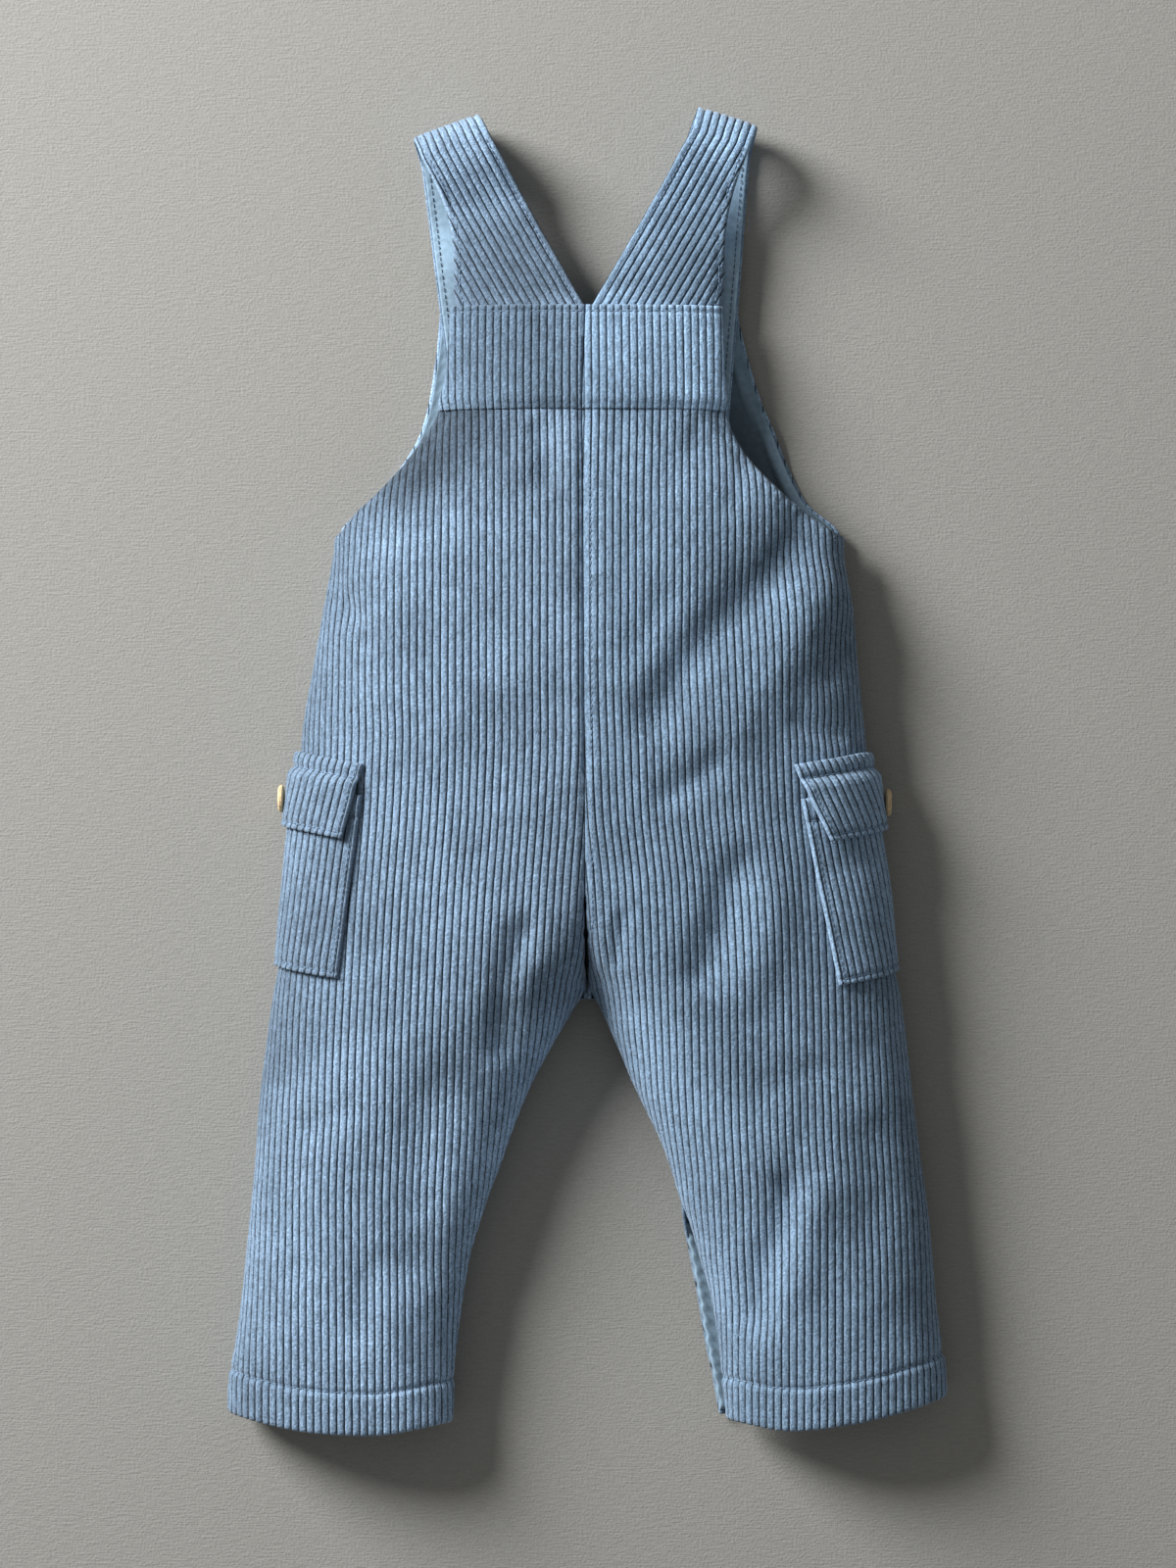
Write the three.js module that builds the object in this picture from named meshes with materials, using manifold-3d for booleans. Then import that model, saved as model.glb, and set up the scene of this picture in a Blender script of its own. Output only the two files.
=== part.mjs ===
// Bib overalls for a small child, in wide-wale corduroy, laid face down and softly filled out.
// Millimetres. X runs to the right and Y up the garment, Z up from the surface it lies on.
// Each half of the garment is worked out in its own outward distance x', mirrored for the left.
import * as THREE from 'three';
import Module from 'manifold-3d';

const WALE_PITCH = 3.175; // eight wales to the inch
const WALL = 1.2; // cloth between two wales
const WALE_HEIGHT = 0.8; // how far a wale stands out of the cloth
const PATCH_WALL = 1.0; // pocket and flap cloth
const PATCH_WALE = 0.6;
const PLAIN_WALL = 1.0; // plain-woven facings and strap linings
const SEAM_GAP = 0.34; // between two pieces along a seam
const LAP = 1.35; // how far a lapping piece stands off the cloth below it
const HEM_DEPTH = 17.5; // hem edge to its stitch line
const CROTCH_Y = -93;
const ARMHOLE_FOOT_Y = 96; // top of the side seam
const YOKE_SEAM_Y = 152.2; // top edge of the back panels, under the yoke
const YOKE_BOTTOM_Y = 149.9;
const YOKE_TOP_Y = 193.6;
const BIB_TOP_Y = 196.6;
const FACING_BOTTOM_Y = 67;
const STRAP_SEAM_Y = 191.6; // strap end, tucked under the yoke
const SHOULDER_LIFT = 22; // height of the strap's loop
const SHOULDER_RADIUS = SHOULDER_LIFT / 2;
const STRAP_END = 134; // strap length past the shoulder, down inside the bib
const BUTTON_RADIUS = 5.8;
const BUTTON_THICK = 2.4;
const BIB_BUTTON_Y = 161;
const BIB_BUTTON_LIFT = 3.0; // the bib rests on its buttons by this much
const POCKET_WIDTH = 76;
const FLAP_WIDTH = 80;

// Cross-section of the garment down its length: crown is the top's height, side the height
// of its widest line, dip how far the back seam has sunk (0 to 1), crownAt where across
// a half the crown lies, and round the shape between seam and crown.
const SECTION = [
  { y: -280, crown: 29, side: 10, dip: 1, crownAt: 0.46, round: 0.5 },
  { y: -240, crown: 31.5, side: 10.5, dip: 1, crownAt: 0.46, round: 0.5 },
  { y: -190, crown: 34, side: 11, dip: 1, crownAt: 0.46, round: 0.5 },
  { y: -140, crown: 36.5, side: 11, dip: 1, crownAt: 0.45, round: 0.5 },
  { y: -112, crown: 38.5, side: 11, dip: 1, crownAt: 0.42, round: 0.52 },
  { y: -93, crown: 40, side: 11, dip: 1, crownAt: 0.34, round: 0.66 },
  { y: -82, crown: 41, side: 11, dip: 0.55, crownAt: 0.27, round: 0.74 },
  { y: -70, crown: 41.5, side: 11, dip: 0.24, crownAt: 0.22, round: 0.76 },
  { y: -55, crown: 42, side: 11, dip: 0.06, crownAt: 0.16, round: 0.76 },
  { y: -40, crown: 42, side: 11, dip: 0, crownAt: 0.12, round: 0.76 },
  { y: 20, crown: 41.5, side: 11, dip: 0, crownAt: 0.1, round: 0.76 },
  { y: 60, crown: 40, side: 10.5, dip: 0, crownAt: 0.1, round: 0.76 },
  { y: 105, crown: 36, side: 10, dip: 0, crownAt: 0.1, round: 0.76 },
  { y: 150, crown: 29, side: 9, dip: 0, crownAt: 0.1, round: 0.76 },
  { y: 200, crown: 20.5, side: 8, dip: 0, crownAt: 0.1, round: 0.76 },
];

// Widest line of each half, as x' of the cloth.
const OUTER = [
  { y: -280, left: 150.2, right: 150.6 }, { y: -267, left: 150.8, right: 150.2 },
  { y: -254, left: 150.2, right: 149.6 }, { y: -242, left: 147.9, right: 147.9 },
  { y: -217, left: 144.6, right: 145.0 }, { y: -192, left: 142.1, right: 143.0 },
  { y: -168, left: 139.7, right: 139.7 }, { y: -143, left: 138.0, right: 136.4 },
  { y: -118, left: 135.1, right: 133.5 }, { y: -93, left: 131.6, right: 130.2 },
  { y: -81, left: 129.2, right: 127.3 }, { y: -56, left: 126.8, right: 124.7 },
  { y: -32, left: 124.4, right: 121.4 }, { y: -7, left: 121.6, right: 118.2 },
  { y: 18, left: 119.4, right: 115.3 }, { y: 43, left: 115.0, right: 112.8 },
  { y: 67, left: 110.9, right: 110.8 }, { y: 92, left: 106.5, right: 107.0 },
  { y: 98, left: 106.0, right: 107.2 }, { y: 107, left: 101.5, right: 101.5 },
  { y: 117, left: 93.0, right: 90.5 }, { y: 131, left: 80.5, right: 73.5 },
  { y: 150, left: 67.5, right: 63.5 }, { y: 166, left: 63.8, right: 61.5 },
  { y: 200, left: 62.5, right: 61.0 },
];

// Inner line of each leg: the back and front panels share it, but for the right leg's
// placket, where the front stands clear of the back from y -187 down.
const INNER = [
  { y: -280, left: 57.6, rightBack: 59.6, rightFront: 56.4 },
  { y: -255, left: 56.7, rightBack: 56.5, rightFront: 51.9 },
  { y: -242, left: 55.5, rightBack: 55.1, rightFront: 49.2 },
  { y: -221, left: 52.7, rightBack: 51.6, rightFront: 45.6 },
  { y: -205, left: 50.0, rightBack: 46.9, rightFront: 42.5 },
  { y: -192, left: 46.2, rightBack: 43.2, rightFront: 40.1 },
  { y: -180, left: 42.3, rightBack: 38.6, rightFront: 38.6 },
  { y: -168, left: 37.7, rightBack: 34.9, rightFront: 34.9 },
  { y: -155, left: 33.2, rightBack: 29.9, rightFront: 29.9 },
  { y: -143, left: 28.7, rightBack: 24.1, rightFront: 24.1 },
  { y: -131, left: 23.3, rightBack: 18.4, rightFront: 18.4 },
  { y: -118, left: 16.3, rightBack: 13.0, rightFront: 13.0 },
  { y: -106, left: 9.3, rightBack: 7.6, rightFront: 7.6 },
  { y: -98, left: 4.2, rightBack: 3.6, rightFront: 3.6 },
  { y: -93, left: 0.9, rightBack: 0.5, rightFront: 0.5 },
];

// Centre seam, as a signed x.
const CENTRE = [
  { y: -93, x: -0.3 }, { y: -50, x: -1.4 }, { y: 20, x: -1.7 }, { y: 100, x: -2.2 },
  { y: 150, x: -2.6 }, { y: 200, x: -1.0 },
];

// Armhole edges: the back's and, lower and wider, the bib's.
const ARMHOLE = [
  { y: 97, backLeft: 105.2, backRight: 106.2, bibLeft: 105.0, bibRight: 106.4 },
  { y: 104.5, backLeft: 100.0, backRight: 95.9, bibLeft: 99.0, bibRight: 97.6 },
  { y: 117, backLeft: 86.4, backRight: 79.0, bibLeft: 88.0, bibRight: 89.7 },
  { y: 131, backLeft: 74.4, backRight: 66.4, bibLeft: 77.0, bibRight: 83.2 },
  { y: 142, backLeft: 66.6, backRight: 60.2, bibLeft: 71.0, bibRight: 78.8 },
  { y: 154, backLeft: 61.2, backRight: 57.0, bibLeft: 67.6, bibRight: 73.6 },
  { y: 166, backLeft: 58.4, backRight: 55.6, bibLeft: 65.6, bibRight: 69.6 },
  { y: 180, backLeft: 57.5, backRight: 55.3, bibLeft: 63.8, bibRight: 65.8 },
  { y: 200, backLeft: 57.0, backRight: 55.0, bibLeft: 62.2, bibRight: 61.6 },
];

// One wale followed down the back, as x', to which the other wales run alongside.
const WALE_LINE = [
  { y: -280, left: 103.3, right: 97.1 }, { y: -182, left: 103.3, right: 96.7 },
  { y: -149, left: 102.1, right: 95.1 }, { y: -116, left: 101.3, right: 94.3 },
  { y: -83, left: 99.6, right: 93.4 }, { y: -50, left: 97.6, right: 91.8 },
  { y: -17, left: 95.1, right: 88.5 }, { y: 16, left: 93.8, right: 87.2 },
  { y: 82, left: 93.8, right: 85.2 },
];
const CHEST_LINE = 50; // x' of a wale that runs straight up the chest

const HEM = [
  { x: -150, y: -270.2 }, { x: -112, y: -276.6 }, { x: -90, y: -277.6 }, { x: -58, y: -274.0 },
  { x: 58, y: -273.2 }, { x: 83, y: -275.8 }, { x: 106, y: -273.4 }, { x: 150, y: -263.4 },
];

// Soft folds of the back: a trough (or a ridge where the depth is below 0) along a line.
const FOLDS = [
  { x1: 96, y1: 104, x2: 26, y2: 18, width: 12, depth: 4.4 },
  { x1: 104, y1: 80, x2: 56, y2: 10, width: 11, depth: -1.6 },
  { x1: 56, y1: 4, x2: 30, y2: -12, width: 8, depth: 2.0 },
  { x1: 66, y1: -36, x2: 44, y2: -88, width: 10, depth: 2.6 },
  { x1: 80, y1: -52, x2: 62, y2: -100, width: 9, depth: -1.4 },
  { x1: 68, y1: -232, x2: 84, y2: -172, width: 8, depth: 2.6 },
  { x1: 86, y1: -218, x2: 96, y2: -172, width: 8, depth: -1.4 },
  { x1: -20, y1: 144, x2: -18, y2: 118, width: 7, depth: 2.0 },
  { x1: -86, y1: 86, x2: -78, y2: 26, width: 14, depth: -2.2 },
  { x1: -30, y1: -66, x2: -38, y2: -118, width: 8, depth: 2.4 },
  { x1: -66, y1: -130, x2: -74, y2: -210, width: 12, depth: 1.8 },
];

// Pockets and flaps: the edge nearer the seat as x', with the ends of the piece in y there
// and slope, how much its top and bottom lines rise outward.
const POCKET = {
  left: { topY: -11.3, bottomY: -87.0, innerTop: 93.4, innerBottom: 103.3, slope: 0.14 },
  right: { topY: -13.0, bottomY: -90.0, innerTop: 87.7, innerBottom: 103.3, slope: 0.17 },
};
const FLAP = {
  left: { topY: 1.6, bottomY: -29.0, innerTop: 92.6, innerBottom: 100.3, slope: 0.17 },
  right: { topY: 1.4, bottomY: -30.2, innerTop: 84.8, innerBottom: 98.0, slope: 0.16 },
};
const FLAP_BUTTON_Y = { left: -12.8, right: -14.4 };

// Straps in plan, as x': inner and outer edge at the yoke and at the shoulder.
const STRAP = {
  left: { innerLow: [2.5, 195.3], innerTop: [46.4, 274.7], outerTop: [72.0, 265.6] },
  right: { innerLow: [2.3, 195.3], innerTop: [48.9, 277.0], outerTop: [69.6, 270.6] },
};
const STRAP_OUTER_LOW = { left: [55.5, 195.3], right: [55.9, 195.3] };
const STRAP_UNDER_LOW = { left: [62.5, 191.2], right: [63.0, 191.2] }; // under part's outer edge
const STRAP_UNDER_WIDTH = 28;
const STRAP_BOW = { left: 4.9, right: 3.8 }; // most that the upper strap's outer edge bows inward
const STRAP_BOW_LENGTH = 56;

const clamp01 = (t) => Math.min(1, Math.max(0, t));
const smooth = (t) => clamp01(t) ** 2 * (3 - 2 * clamp01(t));
const mix = (a, b, t) => a + (b - a) * t;

/** Reads a column of a table at a position along it, with smooth bends between the rows. */
function read(table, key, column, at) {
  const last = table.length - 1;
  if (at <= table[0][key]) return table[0][column];
  if (at >= table[last][key]) return table[last][column];
  let i = 0;
  while (table[i + 1][key] < at) i += 1;
  const slope = (a, b) => (table[b][column] - table[a][column]) / (table[b][key] - table[a][key]);
  const span = table[i + 1][key] - table[i][key];
  const middle = slope(i, i + 1);
  const before = i > 0 ? slope(i - 1, i) : middle;
  const after = i + 1 < last ? slope(i + 1, i + 2) : middle;
  const m0 = before * middle > 0 ? (2 * before * middle) / (before + middle) : 0;
  const m1 = after * middle > 0 ? (2 * after * middle) / (after + middle) : 0;
  const t = (at - table[i][key]) / span;
  const base = mix(table[i][column], table[i + 1][column], t * t * (3 - 2 * t));
  return base + span * (m0 * t * (1 - t) ** 2 - m1 * t * t * (1 - t));
}

/** How far the front is held off the surface by pockets, flaps and the bib's buttons. */
function restHeight(half, xOut, y) {
  const pocket = POCKET[half];
  const flap = FLAP[half];
  const edge = read(OUTER, 'y', half, y);
  const across = smooth((xOut - (edge - 74)) / 24);
  const pocketUp = smooth((y - pocket.bottomY + 22) / 18) * smooth((34 - y) / 20);
  const flapUp = smooth((y - flap.bottomY + 22) / 18) * smooth((34 - y) / 20);
  const bib = smooth((y - 122) / 24);
  return across * (2.35 * pocketUp + 2.0 * flapUp) + BIB_BUTTON_LIFT * bib;
}

const ringCache = new Map();

/** Cross-section of one half at y: points from the back seam over the top to the widest
 *  line and back beneath to the front seam, with arc lengths and outward normals. */
function ring(half, y) {
  const id = `${half}${y.toFixed(3)}`;
  if (ringCache.has(id)) return ringCache.get(id);
  const sign = half === 'left' ? -1 : 1;
  const at = (column) => read(SECTION, 'y', column, y);
  const seam = sign * read(CENTRE, 'y', 'x', y) + SEAM_GAP / 2;
  const leg = y < CROTCH_Y;
  const backIn = leg ? read(INNER, 'y', half === 'left' ? 'left' : 'rightBack', y) : seam;
  const frontIn = leg ? read(INNER, 'y', half === 'left' ? 'left' : 'rightFront', y) : seam;
  const open = half === 'right' ? smooth((-182 - y) / 22) : 0;
  const outer = read(OUTER, 'y', half, y);
  const crown = at('crown');
  const side = at('side');
  const backSeamZ = mix(crown, mix(11.5, 9, open), at('dip'));
  const frontRise = smooth((-74 - y) / 18);
  const frontSeamZ = frontRise * mix(11.5, 3.2, open);
  const crownAt = at('crownAt');
  const round = at('round');
  const above = smooth((y - ARMHOLE_FOOT_Y) / 20);
  const bibKey = half === 'left' ? 'bibLeft' : 'bibRight';
  const frontOut = y > ARMHOLE_FOOT_Y ? mix(outer, read(ARMHOLE, 'y', bibKey, y), above) : outer;
  const frontSide = side * (1 - above);
  const points = [];
  const steps = 110;
  for (let i = 0; i <= steps; i += 1) {
    const u = (1 - Math.cos((Math.PI * i) / steps)) / 2;
    const w = u / crownAt;
    const v = (u - crownAt) / (1 - crownAt);
    const z = u < crownAt
      ? backSeamZ + (crown - backSeamZ) * (1 - (1 - w) ** 2) ** round
      : side + (crown - side) * Math.sqrt(1 - v ** 2.5);
    points.push([mix(backIn, outer, u), z]);
  }
  const backEnd = points.length - 1;
  const sideWidth = mix(16, 6, above);
  for (let i = 1; i <= steps; i += 1) {
    const u = (1 - Math.cos((Math.PI * i) / steps)) / 2;
    const x = mix(frontOut, frontIn, u);
    const fromSide = clamp01((frontOut - x) / sideWidth);
    const fromSeam = clamp01((x - frontIn) / 12);
    const sideRise = 1 - Math.sqrt(1 - (1 - fromSide) ** 2);
    const seamRise = 1 - Math.sqrt(1 - (1 - fromSeam) ** 2);
    const held = (1 - sideRise * (1 - above)) ** 2 * (1 - seamRise * frontRise);
    const rest = restHeight(half, x, y) * held;
    points.push([x, rest + frontSide * sideRise + frontSeamZ * seamRise]);
  }
  const length = [0];
  for (let i = 1; i < points.length; i += 1) {
    const step = Math.hypot(points[i][0] - points[i - 1][0], points[i][1] - points[i - 1][1]);
    length.push(length[i - 1] + step);
  }
  const total = length[length.length - 1];
  const normal = points.map((_, i) => {
    const first = above > 0 && i > backEnd ? backEnd + 1 : 0;
    const last = above > 0 && i <= backEnd ? backEnd : points.length - 1;
    const a = points[Math.max(first, i - 2)];
    const b = points[Math.min(last, i + 2)];
    const size = Math.hypot(b[0] - a[0], b[1] - a[1]) || 1;
    return [-(b[1] - a[1]) / size, (b[0] - a[0]) / size];
  });
  const closed = leg ? 1 - open : 0;
  normal.forEach((n, i) => {
    const near = closed * Math.max(clamp01(1 - length[i] / 3), clamp01(1 - (total - length[i]) / 3));
    const x = mix(n[0], -1, near);
    const z = mix(n[1], 0, near);
    const size = Math.hypot(x, z);
    n[0] = x / size;
    n[1] = z / size;
  });
  const made = { points, length, normal, backEnd, total, seam, outer, leg };
  ringCache.set(id, made);
  return made;
}

/** Arc length along the back of a ring at which it reaches x'. */
function arcAt(section, x) {
  let i = 1;
  while (i < section.backEnd && section.points[i][0] < x) i += 1;
  const [a, b] = [section.points[i - 1][0], section.points[i][0]];
  const t = clamp01((x - a) / (b - a || 1));
  return mix(section.length[i - 1], section.length[i], t);
}

/** Depth of the back's folds at a place, soft across and at both ends. */
function foldDepth(x, y) {
  let depth = 0;
  for (const f of FOLDS) {
    const run = [f.x2 - f.x1, f.y2 - f.y1];
    const size = Math.hypot(run[0], run[1]);
    const along = ((x - f.x1) * run[0] + (y - f.y1) * run[1]) / size;
    const across = ((x - f.x1) * run[1] - (y - f.y1) * run[0]) / size;
    const ends = smooth((along + f.width) / (1.6 * f.width))
      * smooth((size + f.width - along) / (1.6 * f.width));
    depth += f.depth * ends * Math.exp(-((across / f.width) ** 2));
  }
  return depth;
}

/** A point of the garment's form at y and arc, moved out by lift: [x, y, z, normal z, x']. */
function onBody(half, y, arc, lift, folded = 1) {
  const section = ring(half, y);
  const { length, points, normal } = section;
  let low = 0;
  let high = length.length - 1;
  while (high - low > 1) {
    const middle = (low + high) >> 1;
    if (length[middle] <= arc) low = middle;
    else high = middle;
  }
  const t = clamp01((arc - length[low]) / (length[high] - length[low] || 1));
  const [nx, nz] = [0, 1].map((i) => mix(normal[low][i], normal[high][i], t));
  const sign = half === 'left' ? -1 : 1;
  let [x, z] = [0, 1].map((i) => mix(points[low][i], points[high][i], t));
  const edge = smooth(arc / 9) * smooth((YOKE_SEAM_Y - y) / 14) * smooth((y + 262) / 12);
  const fold = folded * edge * clamp01(nz * 1.6 - 0.3) * foldDepth(sign * x, y);
  x += nx * (lift - fold);
  z += nz * (lift - fold);
  if (!section.leg) x = Math.max(x, section.seam);
  return [sign * x, y, z, nz, x];
}

/** Triangles between two neighbouring columns whose points carry their row number k. */
function zip(a, b, add) {
  let i = 0;
  let j = 0;
  while (i < a.length - 1 || j < b.length - 1) {
    const nextA = i < a.length - 1 ? a[i + 1].k : Infinity;
    const nextB = j < b.length - 1 ? b[j + 1].k : Infinity;
    if (nextA < nextB - 1e-6) {
      add(a[i], b[j], a[i + 1]);
      i += 1;
    } else if (nextB < nextA - 1e-6) {
      add(a[i], b[j], b[j + 1]);
      j += 1;
    } else {
      add(a[i], b[j], b[j + 1]);
      add(a[i], b[j + 1], a[i + 1]);
      i += 1;
      j += 1;
    }
  }
}

/** Points round a set of columns, up the first and down the last. A column with a shelf
 *  runs on past its next neighbour, from that row upward. */
function rim(columns) {
  const loop = [...columns[0].points];
  const last = columns.length - 1;
  for (let c = 1; c <= last; c += 1) {
    const before = columns[c - 1];
    if (before.shelf) {
      for (let r = before.points.length - 2; r >= before.shelf; r -= 1) loop.push(before.points[r]);
    }
    const p = columns[c].points;
    if (c < last) loop.push(p[p.length - 1]);
    else loop.push(...[...p].reverse());
  }
  for (let c = last - 1; c > 0; c -= 1) loop.push(columns[c].points[0]);
  return loop;
}

/** Closed wall of cloth: outer points in every column, inner ones in the kept columns, and
 *  a rim between them. Each point holds out, inn and its row number k. */
function wall(columns, mirrored) {
  const positions = [];
  const index = [];
  const vertex = (point, side) => {
    const name = `${side}Id`;
    if (point[name] === undefined) {
      point[name] = positions.length / 3;
      positions.push(point[side][0], point[side][1], point[side][2]);
    }
    return point[name];
  };
  const triangle = (a, b, c) => (mirrored ? index.push(a, c, b) : index.push(a, b, c));
  const sheet = (set, side) => {
    for (let c = 1; c < set.length; c += 1) {
      const { points, shelf } = set[c - 1];
      const a = shelf ? points.slice(0, shelf + 1) : points;
      zip(a, set[c].points, (p, q, r) => {
        const [i, j, k] = [vertex(p, side), vertex(q, side), vertex(r, side)];
        if (side === 'out') triangle(i, j, k);
        else triangle(i, k, j);
      });
    }
  };
  const kept = columns.filter((column) => column.keep);
  sheet(columns, 'out');
  sheet(kept, 'inn');
  const outerLoop = rim(columns);
  const innerLoop = rim(kept);
  const place = new Map(outerLoop.map((point, i) => [point, i]));
  innerLoop.forEach((from, i) => {
    const to = innerLoop[(i + 1) % innerLoop.length];
    const start = place.get(from);
    const count = (place.get(to) - start + outerLoop.length) % outerLoop.length;
    const half = count >> 1;
    for (let s = 0; s < count; s += 1) {
      const a = outerLoop[(start + s) % outerLoop.length];
      const b = outerLoop[(start + s + 1) % outerLoop.length];
      triangle(vertex(a, 'out'), vertex(b, 'out'), vertex(s < half ? from : to, 'inn'));
      if (s === half) {
        triangle(vertex(a, 'out'), vertex(to, 'inn'), vertex(from, 'inn'));
      }
    }
  });
  const geometry = new THREE.BufferGeometry();
  geometry.setAttribute('position', new THREE.Float32BufferAttribute(positions, 3));
  geometry.setIndex(index);
  return geometry;
}

/** Points of one column at the row heights inside its own reach, and at its two ends. */
function columnPoints(rows, low, high, clear, make) {
  const number = (v) => {
    let i = 0;
    while (i < rows.length - 2 && rows[i + 1] < v) i += 1;
    return clamp01((v - rows[i]) / (rows[i + 1] - rows[i])) + i;
  };
  const inside = rows.map((v, i) => ({ v, k: i })).filter(({ v }) => v > low + clear && v < high - clear);
  const all = [{ v: low, k: number(low) }, ...inside, { v: high, k: number(high) }];
  return all.map(({ v, k }) => ({ k, ...make(v) }));
}

const hemAt = (x) => read(HEM, 'x', 'y', x);

/** Marks the columns that the inner face needs: one in seven, closer where the form bends. */
function keepColumns(columns, turnOf, mostTurn = 0.34) {
  let since = 0;
  let turned = 0;
  columns.forEach((column, c) => {
    since += 1;
    turned += c > 0 ? Math.abs(turnOf(column) - turnOf(columns[c - 1])) : 0;
    if (c === 0 || c === columns.length - 1 || column.shelf || since >= 8 || turned > mostTurn) {
      column.keep = true;
      since = 0;
      turned = 0;
    }
  });
  return columns;
}

/** How far a stitched-down hem stands out of the leg above it, with its pinched stitch line. */
function hemLift(x, y) {
  const above = y - hemAt(x) - HEM_DEPTH;
  return 0.5 * smooth(-above / 2.5) - 0.75 * Math.exp(-((above / 2.2) ** 2));
}

/** Places of the body's wales at y: the arc at which the followed wale lies. */
function waleArc(half, y) {
  const section = ring(half, y);
  const line = (v) => arcAt(ring(half, v), read(WALE_LINE, 'y', half, v));
  const between = line(40) - arcAt(ring(half, 40), CHEST_LINE);
  if (y >= 70) return arcAt(section, CHEST_LINE);
  const followed = arcAt(section, read(WALE_LINE, 'y', half, y)) - between;
  return mix(followed, arcAt(section, CHEST_LINE), smooth((y - 10) / 60));
}

/** Arc of the side seam, or of the armhole's edge above it. */
function backLimit(half, y) {
  const section = ring(half, y);
  const sideArc = section.length[section.backEnd] + 3;
  if (y <= ARMHOLE_FOOT_Y) return sideArc;
  const edge = read(ARMHOLE, 'y', half === 'left' ? 'backLeft' : 'backRight', Math.max(y, 97));
  const armArc = arcAt(section, edge);
  return mix(sideArc, armArc, clamp01((y - ARMHOLE_FOOT_Y) / 2.5));
}

/** Longest run of y over which a line at the given distance from the followed wale stays
 *  on the cloth, found in steps of 1 mm. */
function reach(half, from, to, distance, low, high) {
  let best = null;
  let start = null;
  const step = 1;
  const inside = (y) => {
    const arc = waleArc(half, y) + distance;
    return arc >= low(y) && arc <= high(y);
  };
  for (let y = from; y <= to + 1e-9; y += step) {
    const ok = inside(y);
    if (ok && start === null) start = y;
    if ((!ok || y + step > to) && start !== null) {
      const end = ok ? y : y - step;
      if (!best || end - start > best[1] - best[0]) best = [start, end];
      start = null;
    }
  }
  if (!best) return null;
  const refine = (outside, within) => {
    let [a, b] = [outside, within];
    for (let i = 0; i < 12; i += 1) {
      const middle = (a + b) / 2;
      if (inside(middle)) b = middle;
      else a = middle;
    }
    return b;
  };
  const low0 = best[0] > from + 0.5 ? refine(best[0] - step, best[0]) : best[0];
  const high0 = best[1] < to - 0.5 ? refine(best[1] + step, best[1]) : best[1];
  return [low0, high0];
}

const BACK_ROWS = [-280, -230, -206, -182, -154, -128, -106, CROTCH_Y, -80, -60, -38, -12, 14, 40,
  64, 88, 108, 130, YOKE_SEAM_Y];

/** Back panel of one half, from the yoke to the hem and from the centre seam to the side. */
function backPanel(half) {
  const sign = half === 'left' ? -1 : 1;
  const columns = [];
  for (let n = -110; n < 110; n += 1) {
    const distance = (n * WALE_PITCH) / 2;
    const low = (y) => (ring(half, y).leg ? SEAM_GAP / 2 : 0);
    const high = (y) => backLimit(half, y) - (y < ARMHOLE_FOOT_Y ? SEAM_GAP / 2 : 0);
    const span = reach(half, -280, YOKE_SEAM_Y, distance, low, high);
    if (!span || span[1] - span[0] < 5) continue;
    const probe = onBody(half, -262, waleArc(half, -262) + distance, 0, 0);
    const hem = hemAt(probe[0]);
    const toHem = span[0] < -262;
    const bottom = toHem ? hem : span[0];
    const rows = toHem
      ? [bottom, bottom + 14.6, bottom + HEM_DEPTH, bottom + 20.5, ...BACK_ROWS.slice(1)]
      : [BACK_ROWS[0], -262, -259, -256, ...BACK_ROWS.slice(1)];
    const make = (y) => {
      const arc = waleArc(half, y) + distance;
      const plain = onBody(half, y, arc, 0);
      const section = ring(half, y);
      const nearSeam = section.leg ? smooth(arc / 4) : smooth(arc / mix(3, 9, smooth((-45 - y) / 25)));
      const nearSide = smooth((section.length[section.backEnd] + 2 - arc) / 6);
      const peak = n % 2 === 0 ? WALE_HEIGHT : 0;
      const hemOut = hemLift(plain[0], y);
      const fade = nearSeam * nearSide * smooth((plain[3] + 0.5) / 0.6);
      return {
        out: onBody(half, y, arc, peak * fade + hemOut * fade),
        inn: onBody(half, y, arc, -WALL - 0.4 * smooth((hem + HEM_DEPTH - y) / 3)),
        arc,
      };
    };
    columns.push({ distance, points: columnPoints(rows, bottom, span[1], 2.2, make) });
  }
  const turnOf = ({ distance }) => {
    const arc = waleArc(half, -60) + distance;
    return Math.acos(Math.max(-1, Math.min(1, onBody(half, -60, arc, 0, 0)[3])));
  };
  return wall(keepColumns(columns, turnOf), sign < 0);
}

/** Yoke half, lapping over the back panel's top edge. */
function yokePanel(half) {
  const sign = half === 'left' ? -1 : 1;
  const rows = [YOKE_BOTTOM_Y, 162, 178, YOKE_TOP_Y];
  const edgeKey = half === 'left' ? 'backLeft' : 'backRight';
  const columns = [];
  for (let n = -70; n < 70; n += 1) {
    const distance = (n * WALE_PITCH) / 2;
    const low = () => 0;
    const high = (y) => arcAt(ring(half, y), read(ARMHOLE, 'y', edgeKey, y));
    const span = reach(half, rows[0], rows[3], distance, low, high);
    if (!span || span[1] - span[0] < 8) continue;
    const make = (y) => {
      const arc = waleArc(half, y) + distance;
      const peak = n % 2 === 0 ? PATCH_WALE * smooth(arc / 3) : 0;
      return {
        out: onBody(half, y, arc, LAP + PATCH_WALL + peak, 0),
        inn: onBody(half, y, arc, LAP, 0),
      };
    };
    columns.push({ distance, points: columnPoints(rows, span[0], span[1], 2.2, make) });
  }
  return wall(keepColumns(columns, () => 0), sign < 0);
}

const FRONT_ROWS = [-280, -230, -206, -182, -154, -128, -106, CROTCH_Y, -80, -60, -38, -12, 14, 40,
  64, 88, 96, 104, 116, 130, 146, 170, BIB_TOP_Y];

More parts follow.
